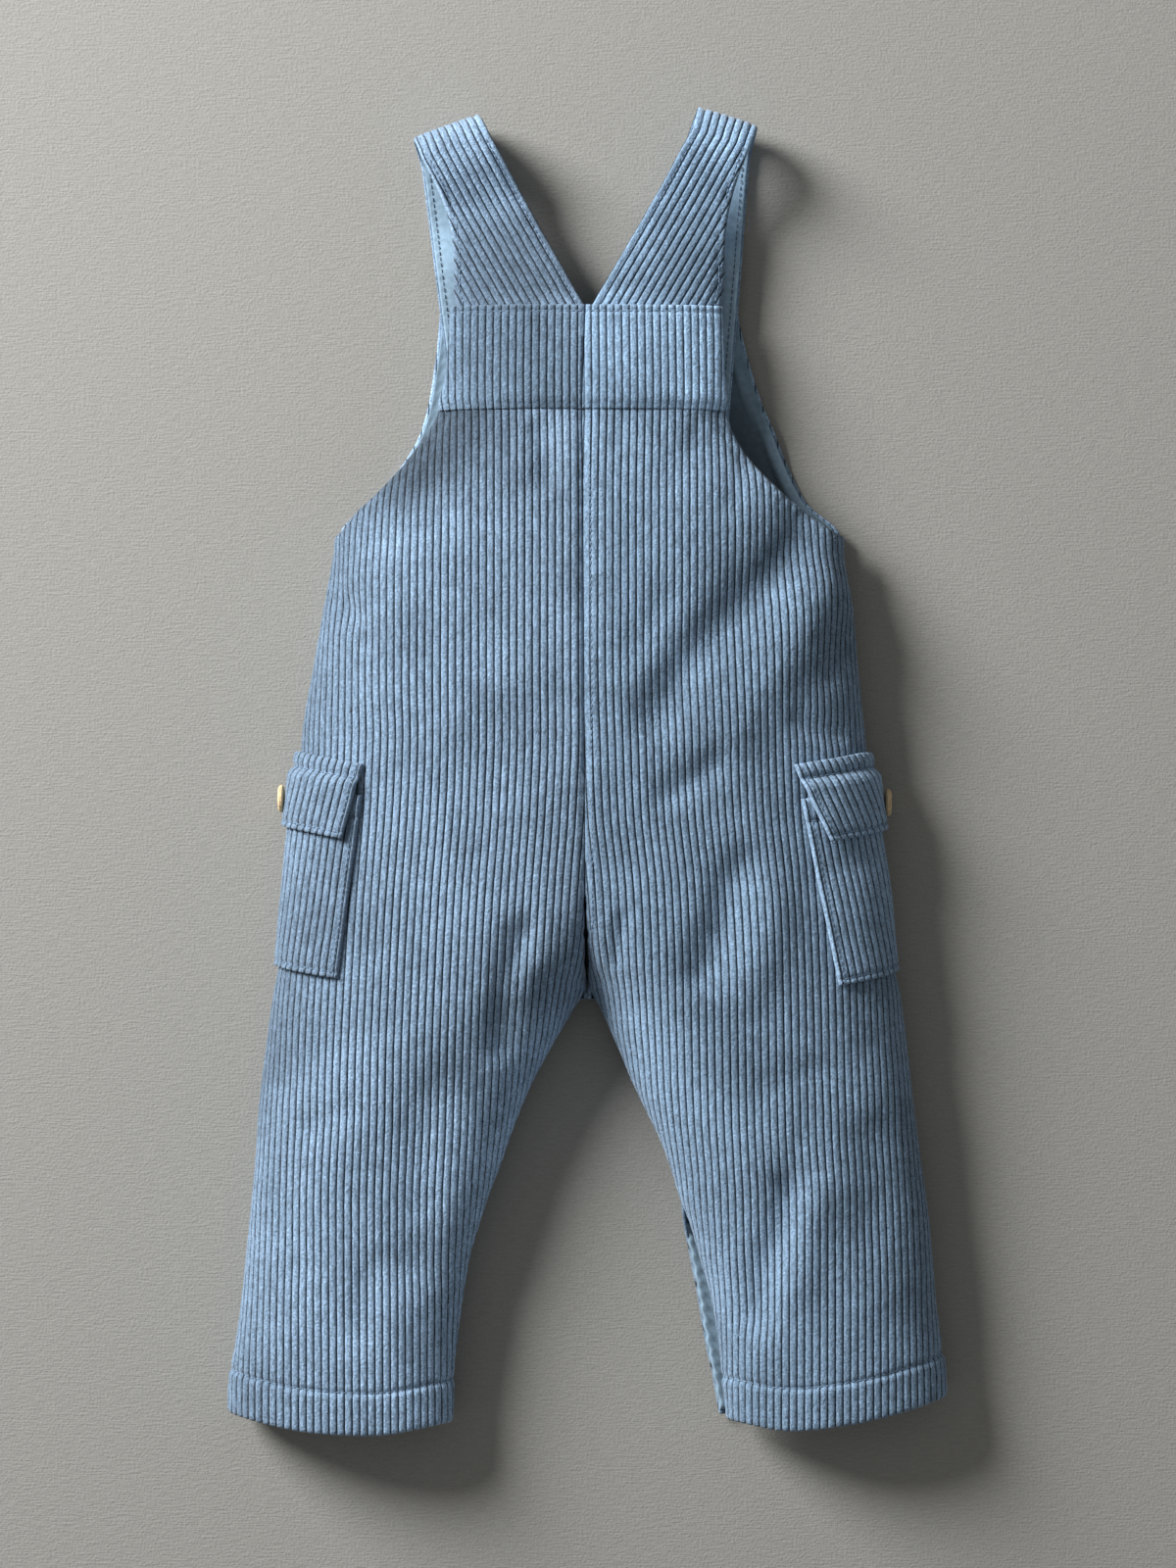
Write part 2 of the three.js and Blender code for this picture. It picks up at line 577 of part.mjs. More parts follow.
/** Arc of the front panel's outer limit: the side seam, or the bib's armhole edge. */
function frontLimit(half, y) {
  const { length, backEnd } = ring(half, y);
  if (y <= ARMHOLE_FOOT_Y) return length[backEnd] + 3 + SEAM_GAP;
  return length[backEnd + 1] + (3 + SEAM_GAP) * (1 - smooth((y - ARMHOLE_FOOT_Y) / 8));
}

/** Front panel of one half, from the bib's top to the hem, plain where it lies flat. */
function frontPanel(half) {
  const nearSide = [0, 3, 6.5, 10.5, 16];
  const nearSeam = [11, 6.5, 3, 0];
  const columns = [];
  for (let c = 0; c < 12; c += 1) {
    const make = (y) => {
      const section = ring(half, y);
      const from = frontLimit(half, y);
      const to = section.total - SEAM_GAP / 2 * (section.leg ? 1 : 0);
      let arc = mix(from + 16, to - 11, (c - 4) / 4);
      if (c < 5) arc = from + nearSide[c];
      if (c > 7) arc = to - nearSeam[c - 8];
      return {
        out: onBody(half, y, arc, 0, 0),
        inn: onBody(half, y, arc, -WALL, 0),
      };
    };
    const foot = make(-262).out[0];
    const rows = [hemAt(foot), ...FRONT_ROWS.slice(1)];
    columns.push({ keep: true, points: columnPoints(rows, rows[0], BIB_TOP_Y, 0.5, make) });
  }
  return wall(columns, half === 'left');
}

/** A pocket or flap wrapped round the side: columns along its wales, moved out by lift. */
function patch(half, shape, width, lift, rows) {
  const columns = [];
  const raisedTo = 48;
  for (let n = 0; n * WALE_PITCH / 2 <= width; n += 1) {
    const w = (n * WALE_PITCH) / 2;
    if (w > raisedTo && w < width - 1 && n % 5 !== 0) continue;
    const make = (t) => {
      const rise = shape.slope * Math.min(w, 32) - shape.slope * 0.35 * Math.max(0, w - 44);
      const y = mix(shape.bottomY, shape.topY, t) + rise;
      const edge = arcAt(ring(half, y), mix(shape.innerBottom, shape.innerTop, t));
      const arc = edge + w;
      const section = ring(half, y);
      const plain = onBody(half, y, arc, 0);
      const down = smooth((arc - section.length[section.backEnd] + 4) / 12);
      const rib = n % 2 === 0 ? PATCH_WALE * (1 - down) * smooth(w / 2) : 0;
      const off = lift(y, w);
      const out = onBody(half, y, arc, off + PATCH_WALL + rib);
      const inn = onBody(half, y, arc, off);
      if (plain[3] < -0.2) {
        const floor = mix(out[2], Math.max(0, out[2]), 1);
        inn[2] = Math.max(inn[2], floor + PATCH_WALL);
        out[2] = floor;
      }
      return { out, inn };
    };
    columns.push({ w, points: columnPoints(rows, 0, 1, 0.01, make) });
  }
  const bend = ({ w }) => Math.min(Math.max(w, 24), 56) / 9;
  return wall(keepColumns(columns, bend, 0.15), half === 'left');
}

const POCKET_LIFT = WALE_HEIGHT + 0.7;
const POCKET_TOTAL = POCKET_LIFT + PATCH_WALL + PATCH_WALE;

const pocketOf = (half) => patch(half, POCKET[half], POCKET_WIDTH, () => POCKET_LIFT,
  [0, 0.25, 0.5, 0.75, 0.93, 1]);

/** A flap stands clear of its pocket, and comes down to the panel above the pocket's top. */
function flapOf(half) {
  const { topY, slope } = POCKET[half];
  const lift = (y, w) => {
    const pocketTop = topY + slope * Math.min(w, 32);
    return mix(POCKET_LIFT, POCKET_TOTAL + 0.8, smooth((pocketTop + 9 - y) / 5));
  };
  return patch(half, FLAP[half], FLAP_WIDTH, lift, [0, 0.33, 0.66, 0.82, 1]);
}

/** Strap form of one half: the shoulder line's origin and axes, and the edges in plan. */
function strapFrame(half) {
  const { innerLow, innerTop, outerTop } = STRAP[half];
  const across = new THREE.Vector2(outerTop[0] - innerTop[0], outerTop[1] - innerTop[1]);
  const width = across.length();
  across.normalize();
  const up = new THREE.Vector2(-across.y, across.x);
  const flat = ([x, y]) => {
    const d = new THREE.Vector2(x - innerTop[0], y - innerTop[1]);
    return [d.dot(across), d.dot(up)];
  };
  const slopeOf = (point, startAt) => (flat(point)[0] - startAt) / flat(point)[1];
  return {
    half,
    width,
    origin: innerTop,
    across,
    up,
    innerSlope: slopeOf(innerLow, 0),
    outerSlope: slopeOf(STRAP_OUTER_LOW[half], width),
    underSlope: slopeOf(STRAP_UNDER_LOW[half], width),
  };
}

const TURN = (Math.PI * SHOULDER_RADIUS) / 2;

/** Strap position at q, its length past the shoulder line, and a, the place across it. */
function onStrap(frame, q, a, lift) {
  const r = SHOULDER_RADIUS;
  let plan;
  let z;
  let tilt;
  if (q < -TURN) {
    plan = q + TURN - r;
    tilt = 0;
    z = SHOULDER_LIFT;
  } else if (q < TURN) {
    tilt = (q + TURN) / r;
    plan = -r + r * Math.sin(tilt);
    z = r + r * Math.cos(tilt);
  } else {
    plan = -r - (q - TURN);
    tilt = Math.PI;
    z = 0;
  }
  const at = (p) => [frame.origin[0] + a * frame.across.x + p * frame.up.x,
    frame.origin[1] + a * frame.across.y + p * frame.up.y];
  const [x0, y0] = at(plan);
  if (q < -TURN) {
    const sag = 7 * smooth((-plan - 14) / 26);
    const yoke = ring(frame.half, Math.min(y0, 199));
    const body = onBody(frame.half, Math.min(y0, 199), arcAt(yoke, x0), 0, 0)[2];
    z = mix(body, SHOULDER_LIFT - sag, smooth((y0 - 195) / 34));
  } else if (q >= TURN) {
    const inBib = smooth((232 - y0) / 24);
    z = inBib * (restHeight(frame.half, x0, y0) + WALL + PLAIN_WALL + 1.2);
  }
  const plan2 = plan + Math.sin(tilt) * lift;
  const [x, y] = at(plan2);
  const sign = frame.half === 'left' ? -1 : 1;
  return [sign * x, y, z + Math.cos(tilt) * lift];
}

const STRAP_ROWS = [-112, -86, -78, -69, -54, -36, -TURN, -TURN / 2, 0, TURN / 2, TURN, 40, 66, 84, 108,
  STRAP_END];

/** Place across the strap of its two edges, at q. */
function strapEdges(frame, q) {
  const plan = q <= -TURN ? q + TURN - SHOULDER_RADIUS : -SHOULDER_RADIUS - (q - TURN);
  if (q <= -TURN) {
    const t = clamp01((-plan - SHOULDER_RADIUS) / STRAP_BOW_LENGTH);
    const bow = STRAP_BOW[frame.half] * Math.sin(Math.PI * t);
    return [frame.innerSlope * plan, frame.width + frame.outerSlope * plan - bow];
  }
  const turnIn = frame.innerSlope * -SHOULDER_RADIUS;
  const turnOut = frame.width + frame.outerSlope * -SHOULDER_RADIUS;
  if (q < TURN) {
    const t = (q + TURN) / (2 * TURN);
    const under = frame.width + frame.underSlope * -SHOULDER_RADIUS;
    return [mix(turnIn, under - STRAP_UNDER_WIDTH, t), mix(turnOut, under, t)];
  }
  const outer = frame.width + frame.underSlope * plan;
  return [outer - STRAP_UNDER_WIDTH, outer];
}

/** Strap of one half: corduroy from the yoke over the shoulder and down inside the bib. */
function strap(half) {
  const frame = strapFrame(half);
  const lean = Math.hypot(1, frame.innerSlope);
  const turnEdges = strapEdges(frame, -TURN);
  const widthAtTurn = turnEdges[1] - turnEdges[0];
  const columns = [];
  const long = Math.floor(widthAtTurn / lean / (WALE_PITCH / 2) + 0.35);
  for (let n = 0; n < 40; n += 1) {
    const a0 = n < long ? (n * WALE_PITCH * lean) / 2 : Math.max(widthAtTurn, (n * WALE_PITCH * lean) / 2);
    const runsOn = n <= long;
    const offset = n === long ? widthAtTurn : a0;
    const lineAt = (q) => {
      const [inner, outer] = strapEdges(frame, q);
      if (q <= -TURN) return inner + offset;
      return mix(inner, outer, offset / widthAtTurn);
    };
    const yAt = (q) => onStrap(frame, q, lineAt(q), 0)[1];
    let start = -125;
    while (yAt(start) < STRAP_SEAM_Y) start += 0.25;
    let end = STRAP_END;
    if (!runsOn) {
      end = start;
      while (end < -TURN && lineAt(end) < strapEdges(frame, end)[1]) end += 0.25;
      if (end - start < 5) continue;
    }
    const make = (q) => {
      const fade = 1 - smooth((q - TURN + 9) / 8);
      const edge = smooth(n / 1.5) * (n === long ? 0 : 1);
      const peak = n % 2 === 1 ? WALE_HEIGHT * fade * edge : 0;
      const a = Math.min(lineAt(q), strapEdges(frame, q)[1]);
      return { out: onStrap(frame, q, a, peak), inn: onStrap(frame, q, a, -WALL) };
    };
    const points = columnPoints(STRAP_ROWS, start, end, 2.5, make);
    const shelf = n === long ? points.findIndex((p) => p.k >= 6) : 0;
    columns.push({ points, shelf, offset });
  }
  return wall(keepColumns(columns, ({ offset }) => offset / 18), half === 'left');
}

/** Plain lining inside the strap's loop, set in a little from the edges. */
function strapLining(half) {
  const frame = strapFrame(half);
  const columns = [0, 0.2, 0.4, 0.6, 0.8, 1].map((t) => {
    const place = (q) => {
      const [inner, outer] = strapEdges(frame, q);
      return mix(inner + 1, outer - 1, t);
    };
    let start = -125;
    while (onStrap(frame, start, place(start), 0)[1] < BIB_TOP_Y) start += 0.25;
    const make = (q) => ({
      out: onStrap(frame, q, place(q), -WALL - 0.9),
      inn: onStrap(frame, q, place(q), -WALL - 0.9 - PLAIN_WALL),
    });
    return { keep: true, points: columnPoints(STRAP_ROWS, start, STRAP_END - 1, 2.5, make) };
  });
  return wall(columns, half === 'left');
}

/** Plain facing inside the bib, over both halves. */
function bibFacing() {
  const rows = [FACING_BOTTOM_Y, 82, 97, 108, 120, 132, 146, 162, 178, BIB_TOP_Y - 1.4];
  const columns = [];
  const spots = [-1, -0.8, -0.5, -0.2, 0.2, 0.5, 0.8, 1];
  spots.forEach((t) => {
    const make = (y) => {
      const half = t < 0 ? 'left' : 'right';
      const inset = mix(21, 1.2, smooth((y - ARMHOLE_FOOT_Y - 12) / 18));
      const edge = read(ARMHOLE, 'y', half === 'left' ? 'bibLeft' : 'bibRight', y) - inset;
      const z = restHeight(half, Math.abs(t) * edge, y) + WALL + 0.4;
      return { out: [t * edge, y, z + PLAIN_WALL], inn: [t * edge, y, z] };
    };
    columns.push({ keep: true, points: columnPoints(rows, rows[0], rows[9], 0.5, make) });
  });
  return wall(columns, false);
}

/** Plain facing along the right leg's front placket. */
function placketFacing() {
  const half = 'right';
  const rows = [-271, -252, -230, -208];
  const columns = [12, 8.5, 5, 2.5, 0.6].map((inset) => {
    const make = (y) => {
      const arc = ring(half, y).total - inset;
      return {
        out: onBody(half, y, arc, -WALL - 0.55, 0),
        inn: onBody(half, y, arc, -WALL - 0.55 - PLAIN_WALL, 0),
      };
    };
    return { keep: true, points: columnPoints(rows, rows[0], rows[3], 0.5, make) };
  });
  return wall(columns, false);
}

/** Turned button with a dished face and two thread holes, axis along +Z, back at z 0. */
async function button(wasm) {
  const r = BUTTON_RADIUS;
  const t = BUTTON_THICK;
  const profile = [[0, 0], [r - 0.9, 0], [r, 0.7], [r, t - 0.7], [r - 0.8, t], [r - 1.9, t],
    [r - 2.6, t - 0.7], [0, t - 0.7]].map(([x, y]) => new THREE.Vector2(x, y));
  const solid = (geometry) => {
    const merged = new Map();
    const vertices = [];
    const p = geometry.attributes.position;
    const renumber = [];
    for (let i = 0; i < p.count; i += 1) {
      const key = [p.getX(i), p.getY(i), p.getZ(i)].map((v) => Math.round(v * 1e4) + 0).join();
      if (!merged.has(key)) {
        merged.set(key, vertices.length / 3);
        vertices.push(p.getX(i), p.getY(i), p.getZ(i));
      }
      renumber.push(merged.get(key));
    }
    const triangles = [];
    const source = geometry.index ? [...geometry.index.array] : renumber.map((_, i) => i);
    for (let i = 0; i < source.length; i += 3) {
      const [a, b, c] = [0, 1, 2].map((n) => renumber[source[i + n]]);
      if (a !== b && b !== c && c !== a) triangles.push(a, b, c);
    }
    return new wasm.Manifold(new wasm.Mesh({
      numProp: 3,
      vertProperties: new Float32Array(vertices),
      triVerts: new Uint32Array(triangles),
    }));
  };
  const disc = new THREE.LatheGeometry(profile, 18).rotateX(Math.PI / 2);
  const hole = (x) => new THREE.CylinderGeometry(0.8, 0.8, 8, 6).rotateX(Math.PI / 2).translate(x, 0, 0);
  const cut = solid(disc).subtract(solid(hole(-1.5))).subtract(solid(hole(1.5)));
  const mesh = cut.getMesh();
  const geometry = new THREE.BufferGeometry();
  geometry.setAttribute('position', new THREE.Float32BufferAttribute([...mesh.vertProperties], 3));
  geometry.setIndex([...mesh.triVerts]);
  return geometry;
}

const cloth = (color, roughness = 0.95) => new THREE.MeshStandardMaterial({ color, roughness, metalness: 0 });
const CORD_LEFT = cloth(0x7990a7);
const CORD_RIGHT = cloth(0x657b90);
const CORD_LIGHT = cloth(0x7d99b4);
const PLAIN = cloth(0x7790a4, 0.9);
const BEECH = new THREE.MeshStandardMaterial({ color: 0xcdb28a, roughness: 0.55, metalness: 0 });

const overalls = new THREE.Group();
const put = (name, geometry, material) => {
  const mesh = new THREE.Mesh(geometry, material);
  mesh.name = name;
  overalls.add(mesh);
  return mesh;
};

const wasm = await Module();
wasm.setup();
const buttonShape = await button(wasm);

for (const half of ['left', 'right']) {
  const sign = half === 'left' ? -1 : 1;
  const main = half === 'left' ? CORD_LEFT : CORD_RIGHT;
  put(`back_${half}`, backPanel(half), main);
  put(`front_${half}`, frontPanel(half), main);
  put(`yoke_${half}`, yokePanel(half), half === 'left' ? CORD_RIGHT : CORD_LIGHT);
  put(`strap_${half}`, strap(half), half === 'left' ? CORD_LEFT : CORD_LIGHT);
  put(`strap_lining_${half}`, strapLining(half), PLAIN);
  put(`pocket_${half}`, pocketOf(half), main);
  put(`flap_${half}`, flapOf(half), main);

  const y = FLAP_BUTTON_Y[half];
  const section = ring(half, y);
  const offset = POCKET_TOTAL + 0.8 + PATCH_WALL + PATCH_WALE + 0.35;
  const face = onBody(half, y, section.length[section.backEnd], offset, 0);
  const side = put(`pocket_button_${half}`, buttonShape, BEECH);
  side.position.set(face[0], y, face[2]);
  side.rotation.set(0, (sign * Math.PI) / 2, 0);

  const frame = strapFrame(half);
  const edges = strapEdges(frame, 110);
  const end = onStrap(frame, 110, (edges[0] + edges[1]) / 2, 0);
  const under = put(`bib_button_${half}`, buttonShape, BEECH);
  under.position.set(end[0], BIB_BUTTON_Y, BUTTON_THICK);
  under.rotation.set(Math.PI, 0, 0);
}
put('bib_facing', bibFacing(), PLAIN);
put('placket_facing_right', placketFacing(), PLAIN);

const bounds = new THREE.Box3().setFromObject(overalls);
overalls.children.forEach((mesh) => {
  mesh.position.x -= (bounds.min.x + bounds.max.x) / 2;
  mesh.position.y -= (bounds.min.y + bounds.max.y) / 2;
  mesh.position.z -= bounds.min.z;
});

export default overalls;
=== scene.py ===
"""Bib overalls for a small child in wide-wale corduroy, lying face down on a pale surface.

Every cloth piece is a thin closed shell: an outer and an inner net of points over one form,
joined round the edge. A net's columns follow the wales and its rows run across them, and
columns that run past the piece's edge end on it. Lengths inside the shape functions are
millimetres in the part's own drawing frame; SHIFT carries them into the shared frame.
"""

import bpy
import numpy as np
from bpy.props import FloatProperty, FloatVectorProperty, PointerProperty
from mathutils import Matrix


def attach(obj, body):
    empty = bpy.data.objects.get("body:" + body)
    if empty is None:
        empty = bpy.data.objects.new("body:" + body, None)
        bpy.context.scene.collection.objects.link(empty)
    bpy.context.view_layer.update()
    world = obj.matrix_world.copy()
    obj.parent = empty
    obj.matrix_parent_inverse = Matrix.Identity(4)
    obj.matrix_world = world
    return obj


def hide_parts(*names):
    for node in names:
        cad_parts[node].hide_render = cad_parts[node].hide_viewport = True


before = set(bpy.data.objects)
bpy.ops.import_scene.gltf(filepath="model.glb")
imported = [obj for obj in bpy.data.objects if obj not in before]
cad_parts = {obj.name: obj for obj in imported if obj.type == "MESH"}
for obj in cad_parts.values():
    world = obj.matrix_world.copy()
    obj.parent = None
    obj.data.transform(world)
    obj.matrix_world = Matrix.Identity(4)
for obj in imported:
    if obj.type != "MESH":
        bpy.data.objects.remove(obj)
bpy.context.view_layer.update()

bl_info = {
    "name": "Corduroy Bib Overalls",
    "version": (1, 0, 0),
    "blender": (4, 5, 0),
    "location": "View3D > Sidebar > Overalls",
    "description": "Builds corduroy bib overalls, laid face down, round their CAD model",
    "category": "Add Mesh",
}

MM = 0.001
SHIFT = np.array([0.343, -0.200, 0.0])  # drawing frame to shared frame
PITCH = 3.175  # wale spacing
WALL = 1.2
PATCH_WALL = 1.0
PLAIN_WALL = 1.0
PATCH_WALE = 0.6
WALE_HEIGHT = 0.8
SEAM_GAP = 0.34
LAP = 1.35
HEM_DEPTH = 17.5
HEM_LEVEL = -275.0  # row that becomes the hem's curved edge
CROTCH_Y = -93.0
WEB_Y = -97.2  # the front's crotch shows this far below the back's
ARMHOLE_FOOT_Y = 96.0
YOKE_SEAM_Y = 152.2
YOKE_BOTTOM_Y = 149.9
YOKE_TOP_Y = 193.6
BIB_TOP_Y = 196.6
FACING_BOTTOM_Y = 67.0
STRAP_SEAM_Y = 191.6
SHOULDER_LIFT = 22.0
SHOULDER_RADIUS = SHOULDER_LIFT / 2
TURN = np.pi * SHOULDER_RADIUS / 2
STRAP_END = 134.0
STRAP_UNDER_WIDTH = 28.0
STRAP_BOW = {"left": 4.9, "right": 3.8}  # inward bow of the upper strap's outer edge
STRAP_BOW_LENGTH = 56.0
STRAP_LENGTH = 246.0
LINING_WIDTH, LINING_LENGTH = 26.0, 228.0
LINING_GAP = 0.9  # from the strap's cloth to its lining
PLACKET_FOOT_Y, PLACKET_TOP_Y, PLACKET_WIDTH = -271.0, -192.0, 12.5
POCKET_WIDTH, POCKET_BAND = 76.0, 9.5  # the band is stitched down along the top
FLAP_WIDTH, FLAP_BAND = 80.0, 6.0
EDGE_STITCH = 2.6  # topstitching's distance from an edge
FLOOR = 2.5  # m, half the surface's width
KEY_SIZE, KEY_POWER = 1.1, 132.0  # m, W
KEY_PLACE = (-1.71, 1.283, 0.95)  # m
KEY_COLOUR = (1.0, 0.975, 0.94)
SKY_COLOUR, SKY_STRENGTH = (1.0, 0.975, 0.93, 1.0), 0.225
CAMERA_PLACE = (0.0002, -0.0068, 1.570)  # m
FOCAL_LENGTH, SENSOR_WIDTH = 85.0, 36.0
POCKET_LIFT = WALE_HEIGHT + 0.7
POCKET_TOTAL = POCKET_LIFT + PATCH_WALL + PATCH_WALE
CHEST_LINE = 50.0
HALVES = ("left", "right")


def table(*rows):
    return np.array(rows, float)


# y, crown height, side height, dip of the back seam, place of the crown, roundness
SECTION = table(
    (-280, 29, 10, 1, 0.46, 0.5), (-240, 31.5, 10.5, 1, 0.46, 0.5), (-190, 34, 11, 1, 0.46, 0.5),
    (-140, 36.5, 11, 1, 0.45, 0.5), (-112, 38.5, 11, 1, 0.42, 0.52), (-93, 40, 11, 1, 0.34, 0.66),
    (-82, 41, 11, 0.55, 0.27, 0.74), (-70, 41.5, 11, 0.24, 0.22, 0.76),
    (-55, 42, 11, 0.06, 0.16, 0.76), (-40, 42, 11, 0, 0.12, 0.76), (20, 41.5, 11, 0, 0.1, 0.76),
    (60, 40, 10.5, 0, 0.1, 0.76), (105, 36, 10, 0, 0.1, 0.76), (150, 29, 9, 0, 0.1, 0.76),
    (200, 20.5, 8, 0, 0.1, 0.76),
)
# y, outermost x' of the left half, of the right half
OUTER = table(
    (-280, 150.2, 150.6), (-267, 150.8, 150.2), (-254, 150.2, 149.6), (-242, 147.9, 147.9),
    (-217, 144.6, 145.0), (-192, 142.1, 143.0), (-168, 139.7, 139.7), (-143, 138.0, 136.4),
    (-118, 135.1, 133.5), (-93, 131.6, 130.2), (-81, 129.2, 127.3), (-56, 126.8, 124.7),
    (-32, 124.4, 121.4), (-7, 121.6, 118.2), (18, 119.4, 115.3), (43, 115.0, 112.8),
    (67, 110.9, 110.8), (92, 106.5, 107.0), (98, 106.0, 107.2), (107, 101.5, 101.5),
    (117, 93.0, 90.5), (131, 80.5, 73.5), (150, 67.5, 63.5), (166, 63.8, 61.5), (200, 62.5, 61.0),
)
# y, inner line of the left leg, of the right leg's back, of the right leg's front
INNER = table(
    (-280, 57.6, 59.6, 56.4), (-255, 56.7, 56.5, 51.9), (-242, 55.5, 55.1, 49.2),
    (-221, 52.7, 51.6, 45.6), (-205, 50.0, 46.9, 42.5), (-192, 46.2, 43.2, 40.1),
    (-180, 42.3, 38.6, 38.6), (-168, 37.7, 34.9, 34.9), (-155, 33.2, 29.9, 29.9),
    (-143, 28.7, 24.1, 24.1), (-131, 23.3, 18.4, 18.4), (-118, 16.3, 13.0, 13.0),
    (-106, 9.3, 7.6, 7.6), (-98, 4.2, 3.6, 3.6), (-93, 0.9, 0.5, 0.5),
)
# y, x of the centre seam
CENTRE = table((-93, -0.3), (-50, -1.4), (20, -1.7), (100, -2.2), (150, -2.6), (200, -1.0))
# y, armhole edge of the back left and right, of the bib left and right
ARMHOLE = table(
    (97, 105.2, 106.2, 105.0, 106.4), (104.5, 100.0, 95.9, 99.0, 97.6),
    (117, 86.4, 79.0, 88.0, 89.7), (131, 74.4, 66.4, 77.0, 83.2), (142, 66.6, 60.2, 71.0, 78.8),
    (154, 61.2, 57.0, 67.6, 73.6), (166, 58.4, 55.6, 65.6, 69.6), (180, 57.5, 55.3, 63.8, 65.8),
    (200, 57.0, 55.0, 62.2, 61.6),
)
# y, x' of the wale that is followed down the left and the right back
WALE_LINE = table(
    (-280, 103.3, 97.1), (-182, 103.3, 96.7), (-149, 102.1, 95.1), (-116, 101.3, 94.3),
    (-83, 99.6, 93.4), (-50, 97.6, 91.8), (-17, 95.1, 88.5), (16, 93.8, 87.2), (82, 93.8, 85.2),
)
# x, y of the hem's edge
HEM = table(
    (-150, -270.2), (-112, -276.6), (-90, -277.6), (-58, -274.0), (58, -273.2), (83, -275.8),
    (106, -273.4), (150, -263.4),
)
# Folds of the back: x1, y1, x2, y2, width, depth (a ridge where it is below 0)
FOLDS = table(
    (93, 104, 23, 18, 11, 4.6), (104, 80, 56, 10, 11, -2.2), (56, 4, 30, -12, 7, 2.6),
    (66, -36, 44, -88, 9, 3.2), (80, -52, 62, -100, 9, -1.8), (68, -232, 84, -172, 8, 3.2),
    (86, -218, 96, -172, 8, -1.8), (-20, 144, -18, 118, 6, 2.3), (-86, 86, -78, 26, 14, -2.4),
    (-30, -66, -38, -118, 7, 2.8), (-66, -130, -74, -210, 12, 2.2), (105, 12, 85, 22, 4.5, 1.5),
    (-110, 90, -99, 60, 6, 1.5), (-101, 70, -90, 52, 4, 0.9), (14, -60, 12, -82, 4, 1.8),
    (-25, -62, -31, -86, 4, 1.1), (-120, -150, -96, -141, 6, 1.0), (70, -134, 98, -122, 6, 0.9),
    (-70, 121, -57, 94, 6, 1.0), (66, 130, 59, 106, 5, 1.0), (84, 101, 68, 84, 6, -0.9),
    (-46, 147, -44, 133, 3, 0.7), (-31, 147, -33, 129, 3, 0.6), (12, 147, 11, 131, 3, 0.6),
    (29, 147, 31, 136, 3, 0.7), (45, 147, 43, 130, 3, 0.6), (-96, -238, -90, -205, 7, 1.2),
    (116, -196, 121, -150, 9, 1.3), (-120, -210, -128, -168, 8, 1.0), (92, -150, 80, -176, 7, 1.1),
    (-48, 60, -36, 22, 10, 1.3), (-62, -6, -40, -36, 9, 1.2), (36, 74, 18, 48, 7, 1.2),
    (112, 58, 98, 36, 6, 1.2), (-58, 18, -44, -8, 8, -0.9),
)
# top and bottom y, inner edge x' at the top and the bottom, outward rise
POCKET = {"left": (-11.3, -87.0, 93.4, 103.3, 0.14), "right": (-13.0, -90.0, 87.7, 103.3, 0.17)}
FLAP = {"left": (1.6, -29.0, 92.6, 100.3, 0.17), "right": (1.4, -30.2, 84.8, 98.0, 0.16)}
# Straps in plan, as x' and y: inner edge low and at the shoulder, outer edge at the shoulder
# and low, and the under part's outer edge low
STRAP = {
    "left": ((2.5, 195.3), (46.4, 274.7), (72.0, 265.6), (55.5, 195.3), (62.5, 191.2)),
    "right": ((2.3, 195.3), (48.9, 277.0), (69.6, 270.6), (55.9, 195.3), (63.0, 191.2)),
}
SIDE = {"left": 1, "right": 2}  # column of a table that holds both halves
SIGN = {"left": -1.0, "right": 1.0}


def clamp01(t):
    return np.clip(t, 0.0, 1.0)


def smooth(t):
    """Smooth step: 3 t squared less 2 t cubed, held at 0 and 1 outside."""
    t = clamp01(t)
    return t * t * (3 - 2 * t)


def mix(a, b, t):
    return a + (b - a) * t


def bell(t):
    """1 where t is 0, falling away smoothly to both sides."""
    return np.exp(-(t**2))


def read(rows, column, at):
    """A column of a table at a place along it: monotone cubic pieces between the rows."""
    keys, values = rows[:, 0], rows[:, column]
    at = np.clip(at, keys[0], keys[-1])
    i = np.clip(np.searchsorted(keys, at) - 1, 0, len(keys) - 2)
    slope = np.diff(values) / np.diff(keys)
    middle = slope[i]
    before = slope[np.maximum(i - 1, 0)]
    after = np.where(i + 2 < len(keys), slope[np.minimum(i + 1, len(slope) - 1)], middle)

    def harmonic(a, b):
        same = a * b > 0
        return np.where(same, 2 * a * b / np.where(same, a + b, 1), 0)

    span = keys[i + 1] - keys[i]
    t = (at - keys[i]) / span
    base = mix(values[i], values[i + 1], t * t * (3 - 2 * t))
    m0, m1 = harmonic(before, middle), harmonic(middle, after)
    return base + span * (m0 * t * (1 - t) ** 2 - m1 * t * t * (1 - t))


def hem_at(x):
    return read(HEM, 1, x)


def wander(a, b, seed):
    """Smooth unevenness from -1 to 1: four crossing sine waves of unlike length."""
    return (
        np.sin(a + 1.3 * seed) * np.cos(0.83 * b - seed)
        + np.sin(0.61 * a - 1.27 * b + 2.1 * seed)
        + np.sin(1.73 * a + 0.47 * b + 0.7 * seed) * 0.6
        + np.cos(2.3 * b - 0.9 * a + seed) * 0.4
    ) / 3.0


def ridge(u):
    """Height of a wale from 0 in the valley to 1 on top: |cos(pi u)| to the power 0.3."""
    return np.abs(np.cos(np.pi * u)) ** 0.3


POCKET_PUSH, FLAP_PUSH, BUTTON_PUSH = 2.35, 2.0, 3.0  # how far each holds the front up


